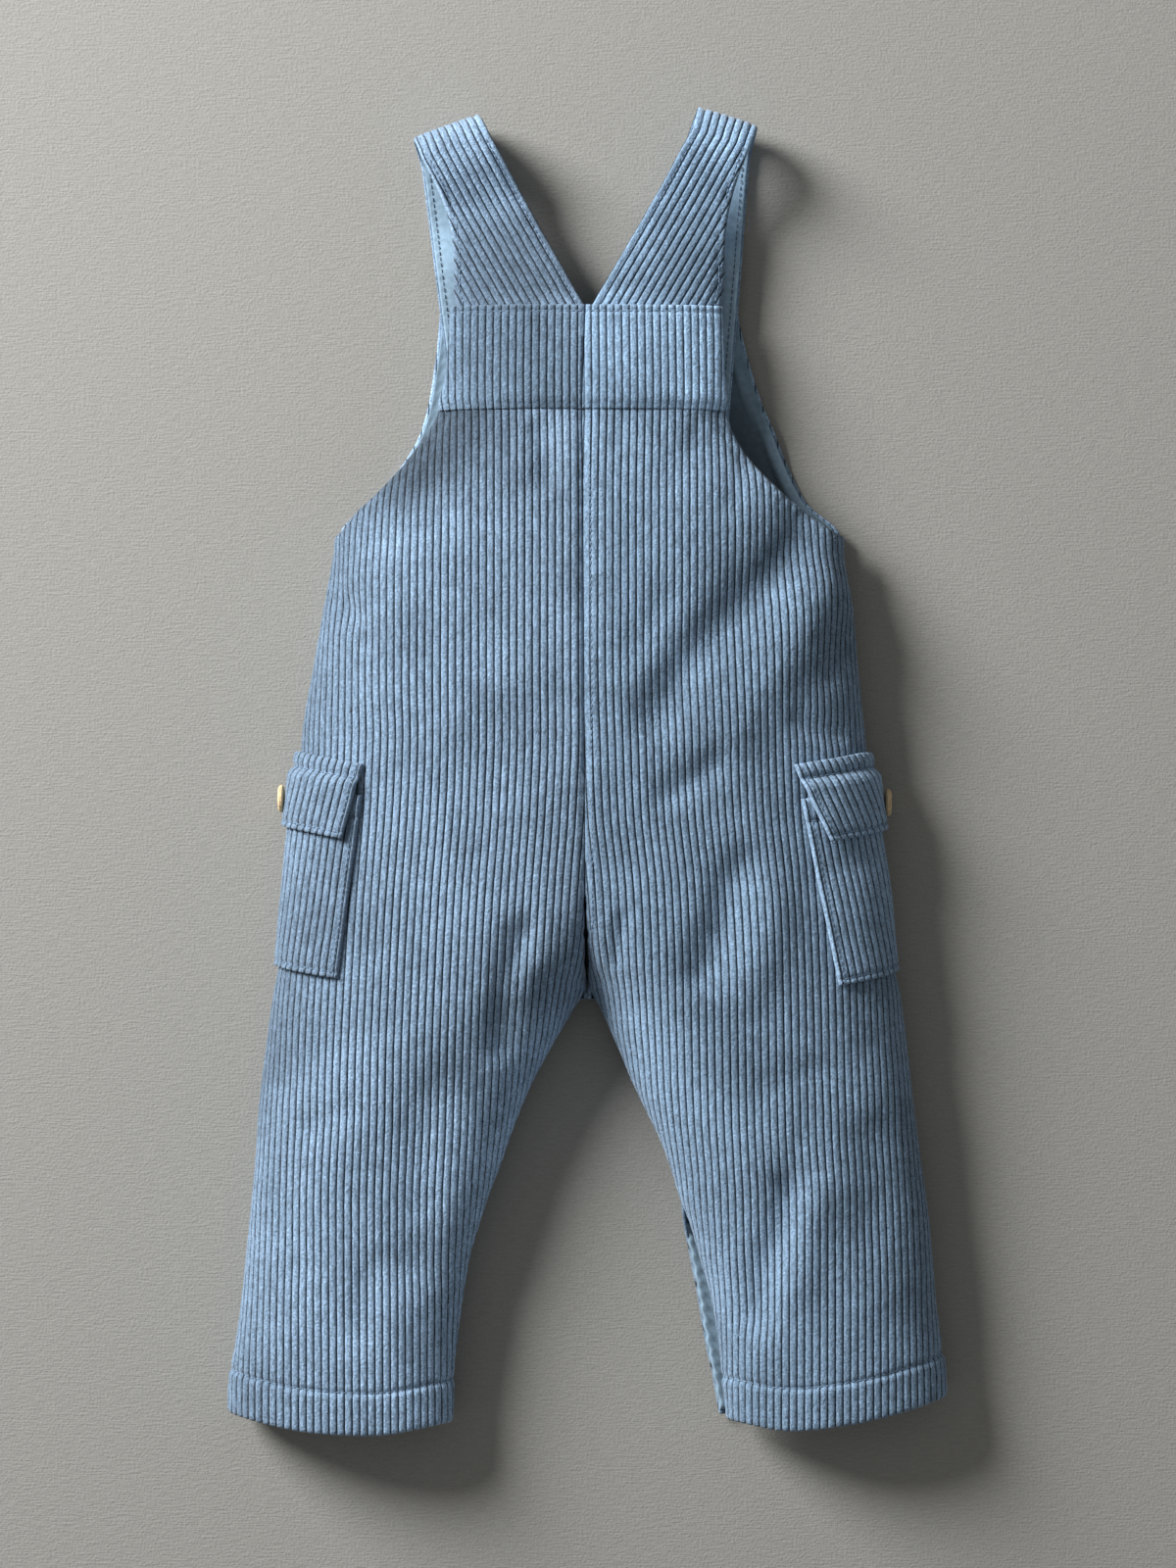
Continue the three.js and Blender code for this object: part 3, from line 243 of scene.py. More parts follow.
def rest_height(half, x, y):
    """How far the front is held off the surface by pockets, flaps and the bib's buttons."""
    edge = read(OUTER, SIDE[half], y)
    across = smooth((x - (edge - 74)) / 24)
    up = [smooth((y - rows[half][1] + 22) / 18) * smooth((34 - y) / 20) for rows in (POCKET, FLAP)]
    sides = across * (POCKET_PUSH * up[0] + FLAP_PUSH * up[1])
    return sides + BUTTON_PUSH * smooth((y - 122) / 24)


Y0, DY, NY = -284.0, 0.5, 975  # a form's net: first y, step and count
DA, NA = 0.5, 720  # steps of arc length
DX, NX = 0.5, 330  # steps of x'


def form(half):
    """One half's form, tabled on an even net of y and arc length.

    Each section runs from the back seam over the crown to the widest line, as a rounded rise
    and then z = side + (crown - side) * sqrt(1 - v ** 2.5), and back beneath, flat but for a
    quarter-ellipse bend at the side and at the leg's inner seam.
    """
    ys = Y0 + DY * np.arange(NY)
    y = ys[:, None]
    crown, side, dip, crown_at, roundness = (read(SECTION, k, y) for k in range(1, 6))
    sign = SIGN[half]
    seam = sign * read(CENTRE, 1, y) + SEAM_GAP / 2
    leg = y < CROTCH_Y
    back_in = np.where(leg, read(INNER, 1 if half == "left" else 2, y), seam)
    front_in = np.where(y < WEB_Y, read(INNER, 1 if half == "left" else 3, y), seam)
    opened = smooth((-182 - y) / 22) if half == "right" else 0 * y
    outer = read(OUTER, SIDE[half], y)
    back_seam_z = mix(crown, mix(11.5, 9, opened), dip)
    front_rise = smooth((-74 - y) / 18)
    front_seam_z = front_rise * mix(11.5, 3.2, opened)
    above = smooth((y - ARMHOLE_FOOT_Y) / 20)
    bib = read(ARMHOLE, 3 if half == "left" else 4, y)
    front_out = np.where(y > ARMHOLE_FOOT_Y, mix(outer, bib, above), outer)
    steps = 110
    u = (1 - np.cos(np.pi * np.arange(steps + 1) / steps))[None, :] / 2
    w, v = clamp01(u / crown_at), clamp01((u - crown_at) / (1 - crown_at))
    back_z = np.where(
        u < crown_at,
        back_seam_z + (crown - back_seam_z) * (1 - (1 - w) ** 2) ** roundness,
        side + (crown - side) * np.sqrt(1 - v**2.5),
    )
    back_x = mix(back_in, outer, u)
    front_x = mix(front_out, front_in, u[:, 1:])
    from_side = clamp01((front_out - front_x) / mix(16, 6, above))
    from_seam = clamp01((front_x - front_in) / 12)
    side_rise = 1 - np.sqrt(1 - (1 - from_side) ** 2)
    seam_rise = 1 - np.sqrt(1 - (1 - from_seam) ** 2)
    held = (1 - side_rise * (1 - above)) ** 2 * (1 - seam_rise * front_rise)
    rest = rest_height(half, front_x, y) * held
    front_z = rest + side * (1 - above) * side_rise + front_seam_z * seam_rise
    x, z = np.hstack([back_x, front_x]), np.hstack([back_z, front_z])
    count, end = x.shape[1], steps
    length = np.hstack([0 * y, np.cumsum(np.hypot(np.diff(x), np.diff(z)), axis=1)])
    total = length[:, -1:]
    k = np.arange(count)[None, :]
    apart = above > 0
    low = np.where(apart & (k > end), np.maximum(k - 2, end + 1), np.maximum(k - 2, 0))
    high = np.where(apart & (k <= end), np.minimum(k + 2, end), np.minimum(k + 2, count - 1))
    dx = np.take_along_axis(x, high, 1) - np.take_along_axis(x, low, 1)
    dz = np.take_along_axis(z, high, 1) - np.take_along_axis(z, low, 1)
    size = np.maximum(np.hypot(dx, dz), 1e-9)
    nx, nz = -dz / size, dx / size
    closed = np.where(leg, 1 - opened, 0)
    near = closed * np.maximum(clamp01(1 - length / 3), clamp01(1 - (total - length) / 3))
    nx, nz = mix(nx, -1, near), mix(nz, 0, near)
    size = np.hypot(nx, nz)
    values = (x, z, nx / size, nz / size)
    arcs, across = DA * np.arange(NA), DX * np.arange(NX)
    back = np.empty((NY, NA, 4))
    front = np.empty((NY, NA, 4))
    arc_of_x = np.empty((NY, NX))
    for i in range(NY):
        start = end + 1 if ys[i] > ARMHOLE_FOOT_Y else 0
        s = (total[i, 0] - length[i, start:])[::-1]
        for j, value in enumerate(values):
            back[i, :, j] = np.interp(arcs, length[i], value[i])
            run = value[i, start:][::-1]
            front[i, :, j] = np.interp(arcs, s, run)
            if start and j == 0:
                front[i, :, 0] += np.maximum(arcs - s[-1], 0)
        arc_of_x[i] = np.interp(across, x[i, : end + 1], length[i, : end + 1])
    made = {
        "back": back, "front": front, "arc_of_x": arc_of_x, "ys": ys, "sign": sign,
        "side_arc": length[:, end], "seam": seam[:, 0], "front_in": front_in[:, 0],
    }
    edge_key = 1 if half == "left" else 2
    line = np.array([read(WALE_LINE, SIDE[half], v) for v in ys])
    followed = arc_at(made, ys, line)
    chest = arc_at(made, ys, CHEST_LINE)
    at40 = int(round((40 - Y0) / DY))
    between = followed[at40] - chest[at40]
    made["wale"] = np.where(
        ys >= 70, chest, mix(followed - between, chest, smooth((ys - 10) / 60))
    )
    arm = arc_at(made, ys, read(ARMHOLE, edge_key, np.maximum(ys, 97)))
    side_arc = made["side_arc"] + 3
    made["back_limit"] = np.where(
        ys <= ARMHOLE_FOOT_Y, side_arc, mix(side_arc, arm, clamp01((ys - ARMHOLE_FOOT_Y) / 2.5))
    )
    made["yoke_limit"] = arc_at(made, ys, read(ARMHOLE, edge_key, ys))
    turned = (3 + SEAM_GAP) * (1 - smooth((ys - ARMHOLE_FOOT_Y) / 8))
    first = np.where(ys <= ARMHOLE_FOOT_Y, length[:, end], length[:, end + 1])
    made["front_limit"] = total[:, 0] - first - turned
    return made


def lookup(net, fy, fa):
    """Straight interpolation both ways in an even net."""
    i = np.clip(np.floor(fy).astype(int), 0, net.shape[0] - 2)
    j = np.clip(np.floor(fa).astype(int), 0, net.shape[1] - 2)
    s, t = clamp01(fy - i), clamp01(fa - j)
    if net.ndim == 3:
        s, t = s[..., None], t[..., None]
    low = net[i, j] * (1 - s) + net[i + 1, j] * s
    high = net[i, j + 1] * (1 - s) + net[i + 1, j + 1] * s
    return low * (1 - t) + high * t


def arc_at(shape, y, x):
    """Arc length along the back at which the section at y reaches x'."""
    y, x = np.broadcast_arrays(np.asarray(y, float), np.asarray(x, float))
    return lookup(shape["arc_of_x"], (y - Y0) / DY, x / DX)


def along(shape, name, y):
    """A figure that a form holds for each y."""
    return np.interp(y, shape["ys"], shape[name])


def fold_depth(x, y):
    """Sum of the folds: each is soft across, exp of minus a square, soft at both ends, and
    its line wanders a little."""
    depth = 0 * x
    for x1, y1, x2, y2, width, deep in FOLDS:
        size = np.hypot(x2 - x1, y2 - y1)
        run = ((x - x1) * (x2 - x1) + (y - y1) * (y2 - y1)) / size
        across = ((x - x1) * (y2 - y1) - (y - y1) * (x2 - x1)) / size
        across = across + 0.16 * width * np.sin(run / (1.1 * width) + x1)
        ends = smooth((run + width) / (1.6 * width)) * smooth((size + width - run) / (1.6 * width))
        depth = depth + deep * ends * bell(across / width)
    return depth + 0.55 * wander(x / 11, y / 15, 2.0) + 0.22 * wander(x / 4.5, y / 6, 5.0)


def on_body(shape, y, arc, lift, folded=1.0, side="back"):
    """Points of the form at y and arc, moved out by lift, and the upward part of the normal."""
    y, arc, lift = np.broadcast_arrays(*(np.asarray(v, float) for v in (y, arc, lift)))
    x, z, nx, nz = np.moveaxis(lookup(shape[side], (y - Y0) / DY, arc / DA), -1, 0)
    size = np.maximum(np.hypot(nx, nz), 1e-9)
    nx, nz = nx / size, nz / size
    sign = shape["sign"]
    if folded:
        edge = smooth(arc / 9) * smooth((YOKE_SEAM_Y - y) / 14) * smooth((y + 262) / 12)
        upward = clamp01(nz * 1.6 - 0.3)
        lift = lift - edge * upward * settings().folds * fold_depth(sign * x, y)
    x, z = x + nx * lift, z + nz * lift
    x = np.where(y >= CROTCH_Y, np.maximum(x, along(shape, "seam", y)), x)
    return np.stack([sign * x, y, z], axis=-1), nz


def settings():
    return bpy.context.scene.overalls


FORMS = {}


def shape_of(half):
    """A half's form, worked out once."""
    if half not in FORMS:
        FORMS[half] = form(half)
    return FORMS[half]


def shell(name, outer, inner, uv, material, flip, tone=1.0, low=0, high=None):
    """Closed cloth: outer and inner nets (rows x columns x 3, mm), each row kept from column
    low to column high, with a rim round the open edge. tone is painted light and shade, with
    a little random nap, which the shader multiplies into the cloth's colour."""
    rows, columns = outer.shape[:2]
    low, high = (np.reshape(v, (-1, 1)) for v in (low, columns - 1 if high is None else high))
    kept = np.clip(np.arange(columns)[None, :], low, high)
    ident = np.arange(rows)[:, None] * columns + kept
    a, b, c, d = ident[:-1, :-1], ident[:-1, 1:], ident[1:, 1:], ident[1:, :-1]
    faces = np.concatenate([
        np.stack([a, b, c], -1).reshape(-1, 3), np.stack([a, c, d], -1).reshape(-1, 3)])
    faces = faces[(faces != np.roll(faces, 1, axis=1)).all(1)]
    used, faces = np.unique(faces, return_inverse=True)
    faces = faces.reshape(-1, 3)
    if flip:
        faces = faces[:, ::-1]
    n = len(used)
    edges = np.concatenate([faces[:, [0, 1]], faces[:, [1, 2]], faces[:, [2, 0]]])
    keys, back = edges[:, 0] * n + edges[:, 1], edges[:, 1] * n + edges[:, 0]
    open_edges = edges[~np.isin(keys, back)]
    p, q = open_edges[:, 0], open_edges[:, 1]
    rim = np.concatenate([np.stack([q, p, p + n], -1), np.stack([q, p + n, q + n], -1)])
    everything = np.concatenate([faces, faces[:, ::-1] + n, rim])
    points = np.concatenate([outer.reshape(-1, 3)[used], inner.reshape(-1, 3)[used]])
    spots = uv.reshape(-1, 2)[used]
    tones = np.broadcast_to(tone, (rows, columns)).reshape(-1)[used]
    spots, tones = np.concatenate([spots, spots]), np.concatenate([tones, tones])
    return mesh_object(name, points, everything, spots, material, tones)


def mesh_object(name, points, faces, uv, material, tones=None):
    """A smooth mesh of points in mm, with a UV and a tone for each point."""
    mesh = bpy.data.meshes.new(name)
    mesh.from_pydata((points + SHIFT) * MM, [], faces)
    mesh.update()
    mesh.polygons.foreach_set("use_smooth", np.ones(len(faces), bool))
    layer = mesh.uv_layers.new(name="UVMap")
    layer.data.foreach_set("uv", uv[faces.reshape(-1)].astype(np.float32).ravel())
    if tones is not None:
        attribute = mesh.attributes.new("tone", "FLOAT", "POINT")
        attribute.data.foreach_set("value", tones.astype(np.float32))
    mesh.materials.append(material)
    mesh.validate()
    return placed(name, mesh)


def placed(name, data, location=(0, 0, 0)):
    """A new object in the scene."""
    obj = bpy.data.objects.new(name, data)
    obj.location = location
    bpy.context.scene.collection.objects.link(obj)
    return obj


def cloth(node):
    """Name of the dressed piece that stands for a CAD node."""
    return f"{node}_cloth"


def dress(obj, node, slot, width, length, area, rests_on):
    """Hangs the piece under the root body and hides the CAD node that it stands for.
    slot, width, length, area and rests_on are not used."""
    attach(obj, "root")
    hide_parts(node)
    return obj


def cut_of(low, high, y):
    """Width, length and area of a piece from its edges' arcs (mm) at each height."""
    width = np.maximum(high - low, 0)
    return float(width.max()), float(y.max() - y.min()), float(np.trapz(width, y))


def columns_of(first, last, parts):
    """Wale numbers of the columns: each wale is cut at the given parts of a pitch, which
    start at its valley."""
    return (np.arange(first, last)[:, None] - 0.5 + np.array(parts)[None, :]).ravel()


# Pieces ------------------------------------------------------------------------------------

FINE = (0, 0.1, 0.27, 0.73, 0.9)  # places of the columns within a wale, from its valley
PLAIN = (0, 0.25, 0.5, 0.75)


def clip_columns(arc, low, high):
    """First and last column to keep in each row, and the arcs with the rest moved on to the
    edges."""
    inside = (arc > low[:, None] + 0.12) & (arc < high[:, None] - 0.12)
    count = arc.shape[1]
    first = np.where(inside.any(1), inside.argmax(1), 1)
    last = np.where(inside.any(1), count - 1 - inside[:, ::-1].argmax(1), 0)
    first, last = np.maximum(first - 1, 0), np.minimum(last + 1, count - 1)
    return first, last, np.clip(arc, low[:, None], high[:, None])


def to_hem(shape, base, arc, side="back"):
    """The hem's y under each point, and the rows' y with the lowest moved on to the hem."""
    rows = base[:, None]
    hem = hem_at(on_body(shape, rows, arc, 0, 0, side)[0][..., 0])
    return hem, rows + (hem - HEM_LEVEL) * smooth((-215 - rows) / 60)


def edge_fall(distance, radius=1.1):
    """1 on the edge of a piece, falling to 0 within radius of it, for its rounded edges."""
    return (1 - clamp01(distance / radius)) ** 2


def back_panel(half, material):
    """Ribs down the grain, folds, seam puckers, and painted light and shade, with a little random
    nap.
    """
    shape = shape_of(half)
    base = np.concatenate([
        [-275.0, -274.4, -273.4], np.linspace(-271, -262, 4), np.linspace(-260.4, -254.6, 9),
        np.linspace(-252.5, 141.5, 134), np.linspace(143.5, YOKE_SEAM_Y, 6)])
    wale = columns_of(-52, 52, FINE)

    def edges(y):
        leg = y < CROTCH_Y
        low = np.where(leg, SEAM_GAP / 2, 0)
        high = along(shape, "back_limit", y) - np.where(y < ARMHOLE_FOOT_Y, SEAM_GAP / 2, 0)
        return low, high

    start = along(shape, "wale", base)[:, None] + wale[None, :] * PITCH
    first, last, arc = clip_columns(start, *edges(base))
    hem, y = to_hem(shape, base, arc)
    low, high = edges(y)
    row_arc = along(shape, "wale", y) + wale[None, :] * PITCH
    arc = np.clip(row_arc, low, high)
    u = (arc - along(shape, "wale", y)) / PITCH
    leg = y < CROTCH_Y
    section_side = along(shape, "side_arc", y)
    near_seam = np.where(leg, smooth(arc / 3.5), smooth(arc / mix(3, 9, smooth((-45 - y) / 25))))
    near_side = smooth((section_side + 2 - arc) / 4)
    plain = on_body(shape, y, arc, 0, 0)[1]
    fade = near_seam * near_side * smooth((plain + 0.6) / 0.6)
    above = y - hem - HEM_DEPTH
    hem_out = 0.5 * smooth(-above / 2.5) - 0.45 * bell(above / 1.1)
    uneven = 1 + 0.09 * wander(u * 2.1, y / 8, 3.0)
    pressed = 1 - 0.4 * bell(above / 1.0)
    lift = settings().relief * WALE_HEIGHT * 1.05 * ridge(u) * fade * uneven * pressed
    lift = lift + hem_out * fade
    seam_dip = bell(arc / 2.0) * (0.55 + 0.25 * np.sin(y / 1.9)) * smooth((YOKE_SEAM_Y - y) / 12)
    pucker = np.exp(-arc / 4.5) * 0.22 * np.sin(y * 1.05 + np.sin(y / 9))
    side_gap = np.maximum(high - arc, 0)
    pucker = pucker + np.exp(-side_gap / 5) * 0.2 * np.sin(y * 0.9 + 1.0)
    arm = smooth((y - 98) / 6) * bell((side_gap - 5.5) / 1.3)
    hem_edge = edge_fall(y - hem)
    arm_edge = edge_fall(side_gap, 1.6) * smooth((y - 97) / 4)
    lift = lift - seam_dip * (1 - leg) - pucker - 0.45 * arm - 0.7 * (hem_edge + arm_edge)
    y_out = y - 0.55 * ridge(u) * hem_edge
    outer = on_body(shape, y_out, arc, lift)[0]
    drop = WALL + 0.4 * smooth((hem + HEM_DEPTH - y) / 3) - 0.3 * (hem_edge + arm_edge)
    inner = on_body(shape, y, arc, -drop)[0]
    uv = np.stack([u, y / PITCH], -1)
    # tone: a little random nap, plus painted light and shade set region by region on each half
    tone = 1 + 0.1 * wander(arc / 16, y / 22, 3.0 + shape["sign"])
    if half == "left":
        # painted light lower on the leg; painted shade along the outer side, which faces the light,
        # and high on the back by the armhole
        tone = tone + 0.2 * smooth((-100 - y) / 80) - 0.05 * bell((y + 30) / 45)
        tone = tone - 0.4 * smooth((50 - side_gap) / 40)
        tone = tone - 0.3 * smooth((y - 95) / 30) * smooth(arc / 30)
        tone = tone - 0.16 * bell((y - 75) / 25) * smooth((60 - arc) / 20)
        # painted light on the leg's inner slope below the crotch, which lies in shade
        inner_leg = smooth((-92 - y) / 25) * (1 - 0.6 * smooth((-160 - y) / 50))
        tone = tone + 0.62 * inner_leg * smooth((55 - arc) / 30)
    else:
        # painted light lower on the leg, a painted highlight along the back seam and a painted
        # light patch on the leg
        tone = tone + 0.05 * smooth((-100 - y) / 80)
        tone = tone + 0.1 * smooth((14 - arc) / 10) * smooth((y - 30) / 40)
        tone = tone + 0.28 * bell((arc - 35) / 22) * bell((y + 130) / 28)
    name = f"back_{half}"
    obj = shell(cloth(name), outer, inner, uv, material, half == "left", tone, first, last)
    return dress(obj, name, f"corduroy_{half}", *cut_of(*edges(base), base), ["surface"])


def front_panel(half, material):
    """Front with its half of the bib: ribs pressed in, so that it stays on the surface."""
    shape = shape_of(half)
    base = np.concatenate([
        [-275.0, -274.2, -272.5], np.linspace(-269, -262, 3), np.linspace(-260.2, -254.8, 7),
        np.linspace(-251, -100, 39), [-97.9, -97.4, -96.9, -95.5], np.linspace(-92.5, 94, 47),
        np.linspace(97, 194.5, 34), [195.8, BIB_TOP_Y]])
    x_line = columns_of(-1, 62, PLAIN) * PITCH + CHEST_LINE - 16 * PITCH

    def edges(y):
        return np.where(y < WEB_Y, SEAM_GAP / 2, 0), along(shape, "front_limit", y)

    start = x_line[None, :] - along(shape, "front_in", base)[:, None]
    first, last, arc = clip_columns(start, *edges(base))
    hem, y = to_hem(shape, base, arc, "front")
    low, high = edges(y)
    arc = np.clip(x_line[None, :] - along(shape, "front_in", y), low, high)
    u = (arc + along(shape, "front_in", y) - CHEST_LINE) / PITCH
    side_gap, above = np.maximum(high - arc, 0), y - hem - HEM_DEPTH
    fade = smooth(arc / 2.5) * smooth(side_gap / 2.5)
    stitch = bell(above / 1.4)
    lift = -settings().relief * 0.62 * (1 - ridge(u)) * fade - 0.3 * stitch
    bib = smooth((y - 97) / 4)
    edge = edge_fall(y - hem) + edge_fall(side_gap, 1.6) * bib + edge_fall(BIB_TOP_Y - y)
    hem_stitch = bell((side_gap - 6) / 1.3) * bib + bell((BIB_TOP_Y - 8 - y) / 1.3)
    lift = lift - 0.25 * hem_stitch - 0.25 * edge
    outer = on_body(shape, y, arc, lift, 0, "front")[0]
    outer[..., 2] = np.maximum(outer[..., 2], 0.02)
    inner = on_body(shape, y, arc, -WALL - 0.2 + 0.25 * edge, 0, "front")[0]
    uv = np.stack([u, y / PITCH], -1)
    # tone: painted light on the front's crotch, which lies in shade under the back, and a painted
    # highlight along the bib's armhole rim
    tone = 1 + 0.7 * smooth((8 - arc) / 4) * smooth((y + 102) / 4) * smooth((-90 - y) / 4)
    tone = tone + 0.6 * smooth((1.6 - side_gap) / 1.2) * bib
    name = f"front_{half}"
    obj = shell(cloth(name), outer, inner, uv, material, half != "left", tone, first, last)
    return dress(obj, name, f"corduroy_{half}", *cut_of(*edges(base), base), ["surface"])


def yoke_panel(half, material):
    """Half of the yoke, lapping the back's top edge and the strap's end."""
    shape = shape_of(half)
    base = np.concatenate([
        YOKE_BOTTOM_Y + np.array([0, 0.5, 1.1, 1.7, 2.2, 2.8, 3.6]),
        np.linspace(155.2, 188.6, 26),
        YOKE_TOP_Y - np.array([4.2, 3.4, 2.8, 2.2, 1.5, 0.9, 0.4, 0])])
    wale = columns_of(-34, 34, FINE)
    y = base[:, None]
    low, high = 0 * base, along(shape, "yoke_limit", base)
    first, last, arc = clip_columns(along(shape, "wale", y) + wale[None, :] * PITCH, low, high)
    u = (arc - along(shape, "wale", y)) / PITCH
    y = y + 0 * arc
    side_gap = high[:, None] - arc
    ends = edge_fall(y - YOKE_BOTTOM_Y, 1.3) + edge_fall(YOKE_TOP_Y - y, 1.3)
    sides = edge_fall(side_gap, 1.5)
    stitch = bell((YOKE_TOP_Y - 2.6 - y) / 0.8)
    uneven = 1 + 0.1 * wander(u * 2.0, y / 7, 9.0)
    low_edge = smooth(1 - (y - YOKE_BOTTOM_Y) / 5)
    relief = settings().relief * PATCH_WALE * 1.2 * ridge(u) * (1 - 0.5 * low_edge)
    relief = relief * smooth((arc + 0.6) / 1.6)
    dip = 0.25 * bell(arc / 1.4)
    swell = 0.35 * wander(arc / 9, y / 12, 4.0 + shape["sign"])
    lift = LAP + PATCH_WALL + swell + relief * uneven * (1 - 0.4 * clamp01(stitch))
    lift = lift - 0.3 * stitch - 0.45 * ends - 0.5 * sides - dip - 1.2 * low_edge
    bulge = np.where(y < 170, -0.9, 0.3) * (ridge(u) - 0.4) * clamp01(ends)
    outer = on_body(shape, y + bulge, arc, lift, 0)[0]
    inner = on_body(shape, y, arc, LAP - 0.95 * low_edge + 0.1 * ends + 0.3 * swell, 0)[0]
    uv = np.stack([u, y / PITCH], -1)
    name = f"yoke_{half}"
    # tone: painted shade over the left half with a darker band, painted light rising towards the
    # right half's side, where its surface turns from the light; the wander is random nap
    if half == "left":
        tone = 0.8 - 0.18 * bell((arc - 20) / 10) + 0.06 * wander(arc / 14, y / 16, 2.0)
    else:
        tone = 0.8 + 0.45 * smooth((arc - 22) / 34) + 0.05 * wander(arc / 14, y / 16, 4.0)
    obj = shell(cloth(name), outer, inner, uv, material, half == "left", tone, first, last)
    slot = "corduroy_right" if half == "left" else "corduroy_light"
    return dress(obj, name, slot, *cut_of(low, high, base), [f"back_{half}", f"strap_{half}"])


def patch_points(shape, rows, w, t, lift, relief):
    """A pocket or flap wrapped round the side, w along its width and t up its length."""
    top, bottom, inner_top, inner_bottom, slope = rows
    rise = slope * np.minimum(w, 32) - slope * 0.35 * np.maximum(0, w - 44)
    y = mix(bottom, top, t) + rise
    arc = arc_at(shape, y, mix(inner_bottom, inner_top, t)) + w
    under = smooth((arc - along(shape, "side_arc", y) + 4) / 12)
    off = lift(y)
    outer, nz = on_body(shape, y, arc, off + PATCH_WALL + relief * (1 - under))
    inner = on_body(shape, y, arc, off)[0]
    below = nz < -0.2
    outer[..., 2] = np.where(below, np.maximum(outer[..., 2], 0.03), outer[..., 2])
    floor = outer[..., 2] + PATCH_WALL * smooth((-nz - 0.2) / 0.3)
    inner[..., 2] = np.where(below, np.maximum(inner[..., 2], floor), inner[..., 2])
    return outer, inner


def patch(name, half, rows, width, lift, material, band, rests_on):
    """Pocket or flap: ribs down its length, a stitched band at the top, edges turned in."""
    shape = shape_of(half)
    wale = columns_of(0, int(width / PITCH) + 2, FINE)
    ribs = wale[(wale * PITCH > 0.7) & (wale * PITCH < width - 0.7)] * PITCH
    w = np.concatenate([[0, 0.45], ribs, [width - 0.45, width]])[None, :]
    long = rows[0] - rows[1]
    ends = np.array([0, 0.4, 0.9, 1.5, 2.0, 2.6]) / long
    t = np.concatenate([
        ends, np.linspace(3.6 / long, 1 - (band + 1.4) / long, max(8, int(long / 1.7))),
        1 - np.array([band + 0.7, band, band - 0.7]) / long,
        1 - np.linspace(band - 1.6, 1.6, 4) / long, 1 - ends[2::-1]])[:, None]
    s = t * long
    w, s = w + 0 * t, s + 0 * w
    u = w / PITCH
    sides = edge_fall(w, 1.3) + edge_fall(width - w, 1.3)
    tips = edge_fall(s, 1.3) + edge_fall(long - s, 1.3)
    at_band = bell((long - s - band) / 0.8)
    rim = bell((w - 2.4) / 0.8) + bell((width - w - 2.4) / 0.8)
    rim = rim + bell((s - 2.2) / 0.8)
    stitch = clamp01(at_band + rim)
    relief = settings().relief * PATCH_WALE * 1.6 * ridge(u) * smooth(w / 1.5)
    relief = relief * (1 - 0.6 * stitch) * (1 + 0.1 * wander(u * 2, s / 7, 6.0))
    relief = relief - 0.4 * at_band - 0.3 * rim - 0.5 * (sides + tips)
    relief = relief + 0.35 * smooth(1 - np.abs(long - s - band / 2) / (band / 2))
    outer, inner = patch_points(shape, rows, w, t + 0 * w, lambda v: lift(v, w, s), relief)
    outer[..., 1] += (ridge(u) - 0.4) * np.where(s < long / 2, -0.5, 0.2) * clamp01(tips)
    uv = np.stack([u, s / PITCH], -1)
    # tone: painted shade on the left pocket and flap, which face the light, painted light on the
    # right ones, which lie in shade; the wander is random nap
    tone = (0.76 if half == "left" else 1.3) + 0.06 * wander(w / 9, s / 12, 2.0)
    obj = shell(cloth(name), outer, inner, uv, material, half == "left", tone)
    return dress(obj, name, f"corduroy_{half}", width, long, width * long, rests_on)


def pocket(half, material):
    def lift(y, w, s):
        return POCKET_LIFT + 0.35 * wander(w / 9, s / 11, 7.0 + SIGN[half]) * smooth(s / 8)

    return patch(f"pocket_{half}", half, POCKET[half], POCKET_WIDTH, lift, material, POCKET_BAND,
                 [f"back_{half}", f"front_{half}"])


def flap_lift(half):
    """Height of a flap off the body: over its pocket, with a curled corner and lower edge."""
    top, slope = POCKET[half][0], POCKET[half][4]
    curl = 1.9 if half == "right" else 0.9

    def lift(y, w, s):
        pocket_top = top + slope * np.minimum(w, 32)
        off = mix(POCKET_LIFT, POCKET_TOTAL + 0.8, smooth((pocket_top + 9 - y) / 5))
        corner = smooth((9 - w) / 9) * smooth((17 - s) / 14)
        edge = smooth((6 - s) / 6) * (0.5 + 0.5 * np.sin(w / 5 + 1))
        return off + curl * corner + 0.5 * edge

    return lift


def flap(half, material):
    return patch(f"flap_{half}", half, FLAP[half], FLAP_WIDTH, flap_lift(half), material, FLAP_BAND,
                 [f"pocket_{half}", f"back_{half}"])


def strap_frame(half):
    """Shoulder line's origin and axes in plan, and the slopes of the strap's edges."""
    inner_low, inner_top, outer_top, outer_low, under_low = (np.array(p) for p in STRAP[half])
    across = outer_top - inner_top
    width = float(np.hypot(*across))
    across = across / width
    up = np.array([-across[1], across[0]])

    def slope_of(point, start):
        d = point - inner_top
        return float((d @ across - start) / (d @ up))

    return {
        "half": half, "width": width, "bow": STRAP_BOW[half],
        "origin": inner_top, "across": across, "up": up,
        "inner": slope_of(inner_low, 0), "outer": slope_of(outer_low, width),
        "under": slope_of(under_low, width),
    }


def bow_at(line, plan):
    """How far the upper strap's outer edge is drawn in: half a sine wave along it."""
    return line["bow"] * np.sin(np.pi * clamp01((-plan - SHOULDER_RADIUS) / STRAP_BOW_LENGTH))


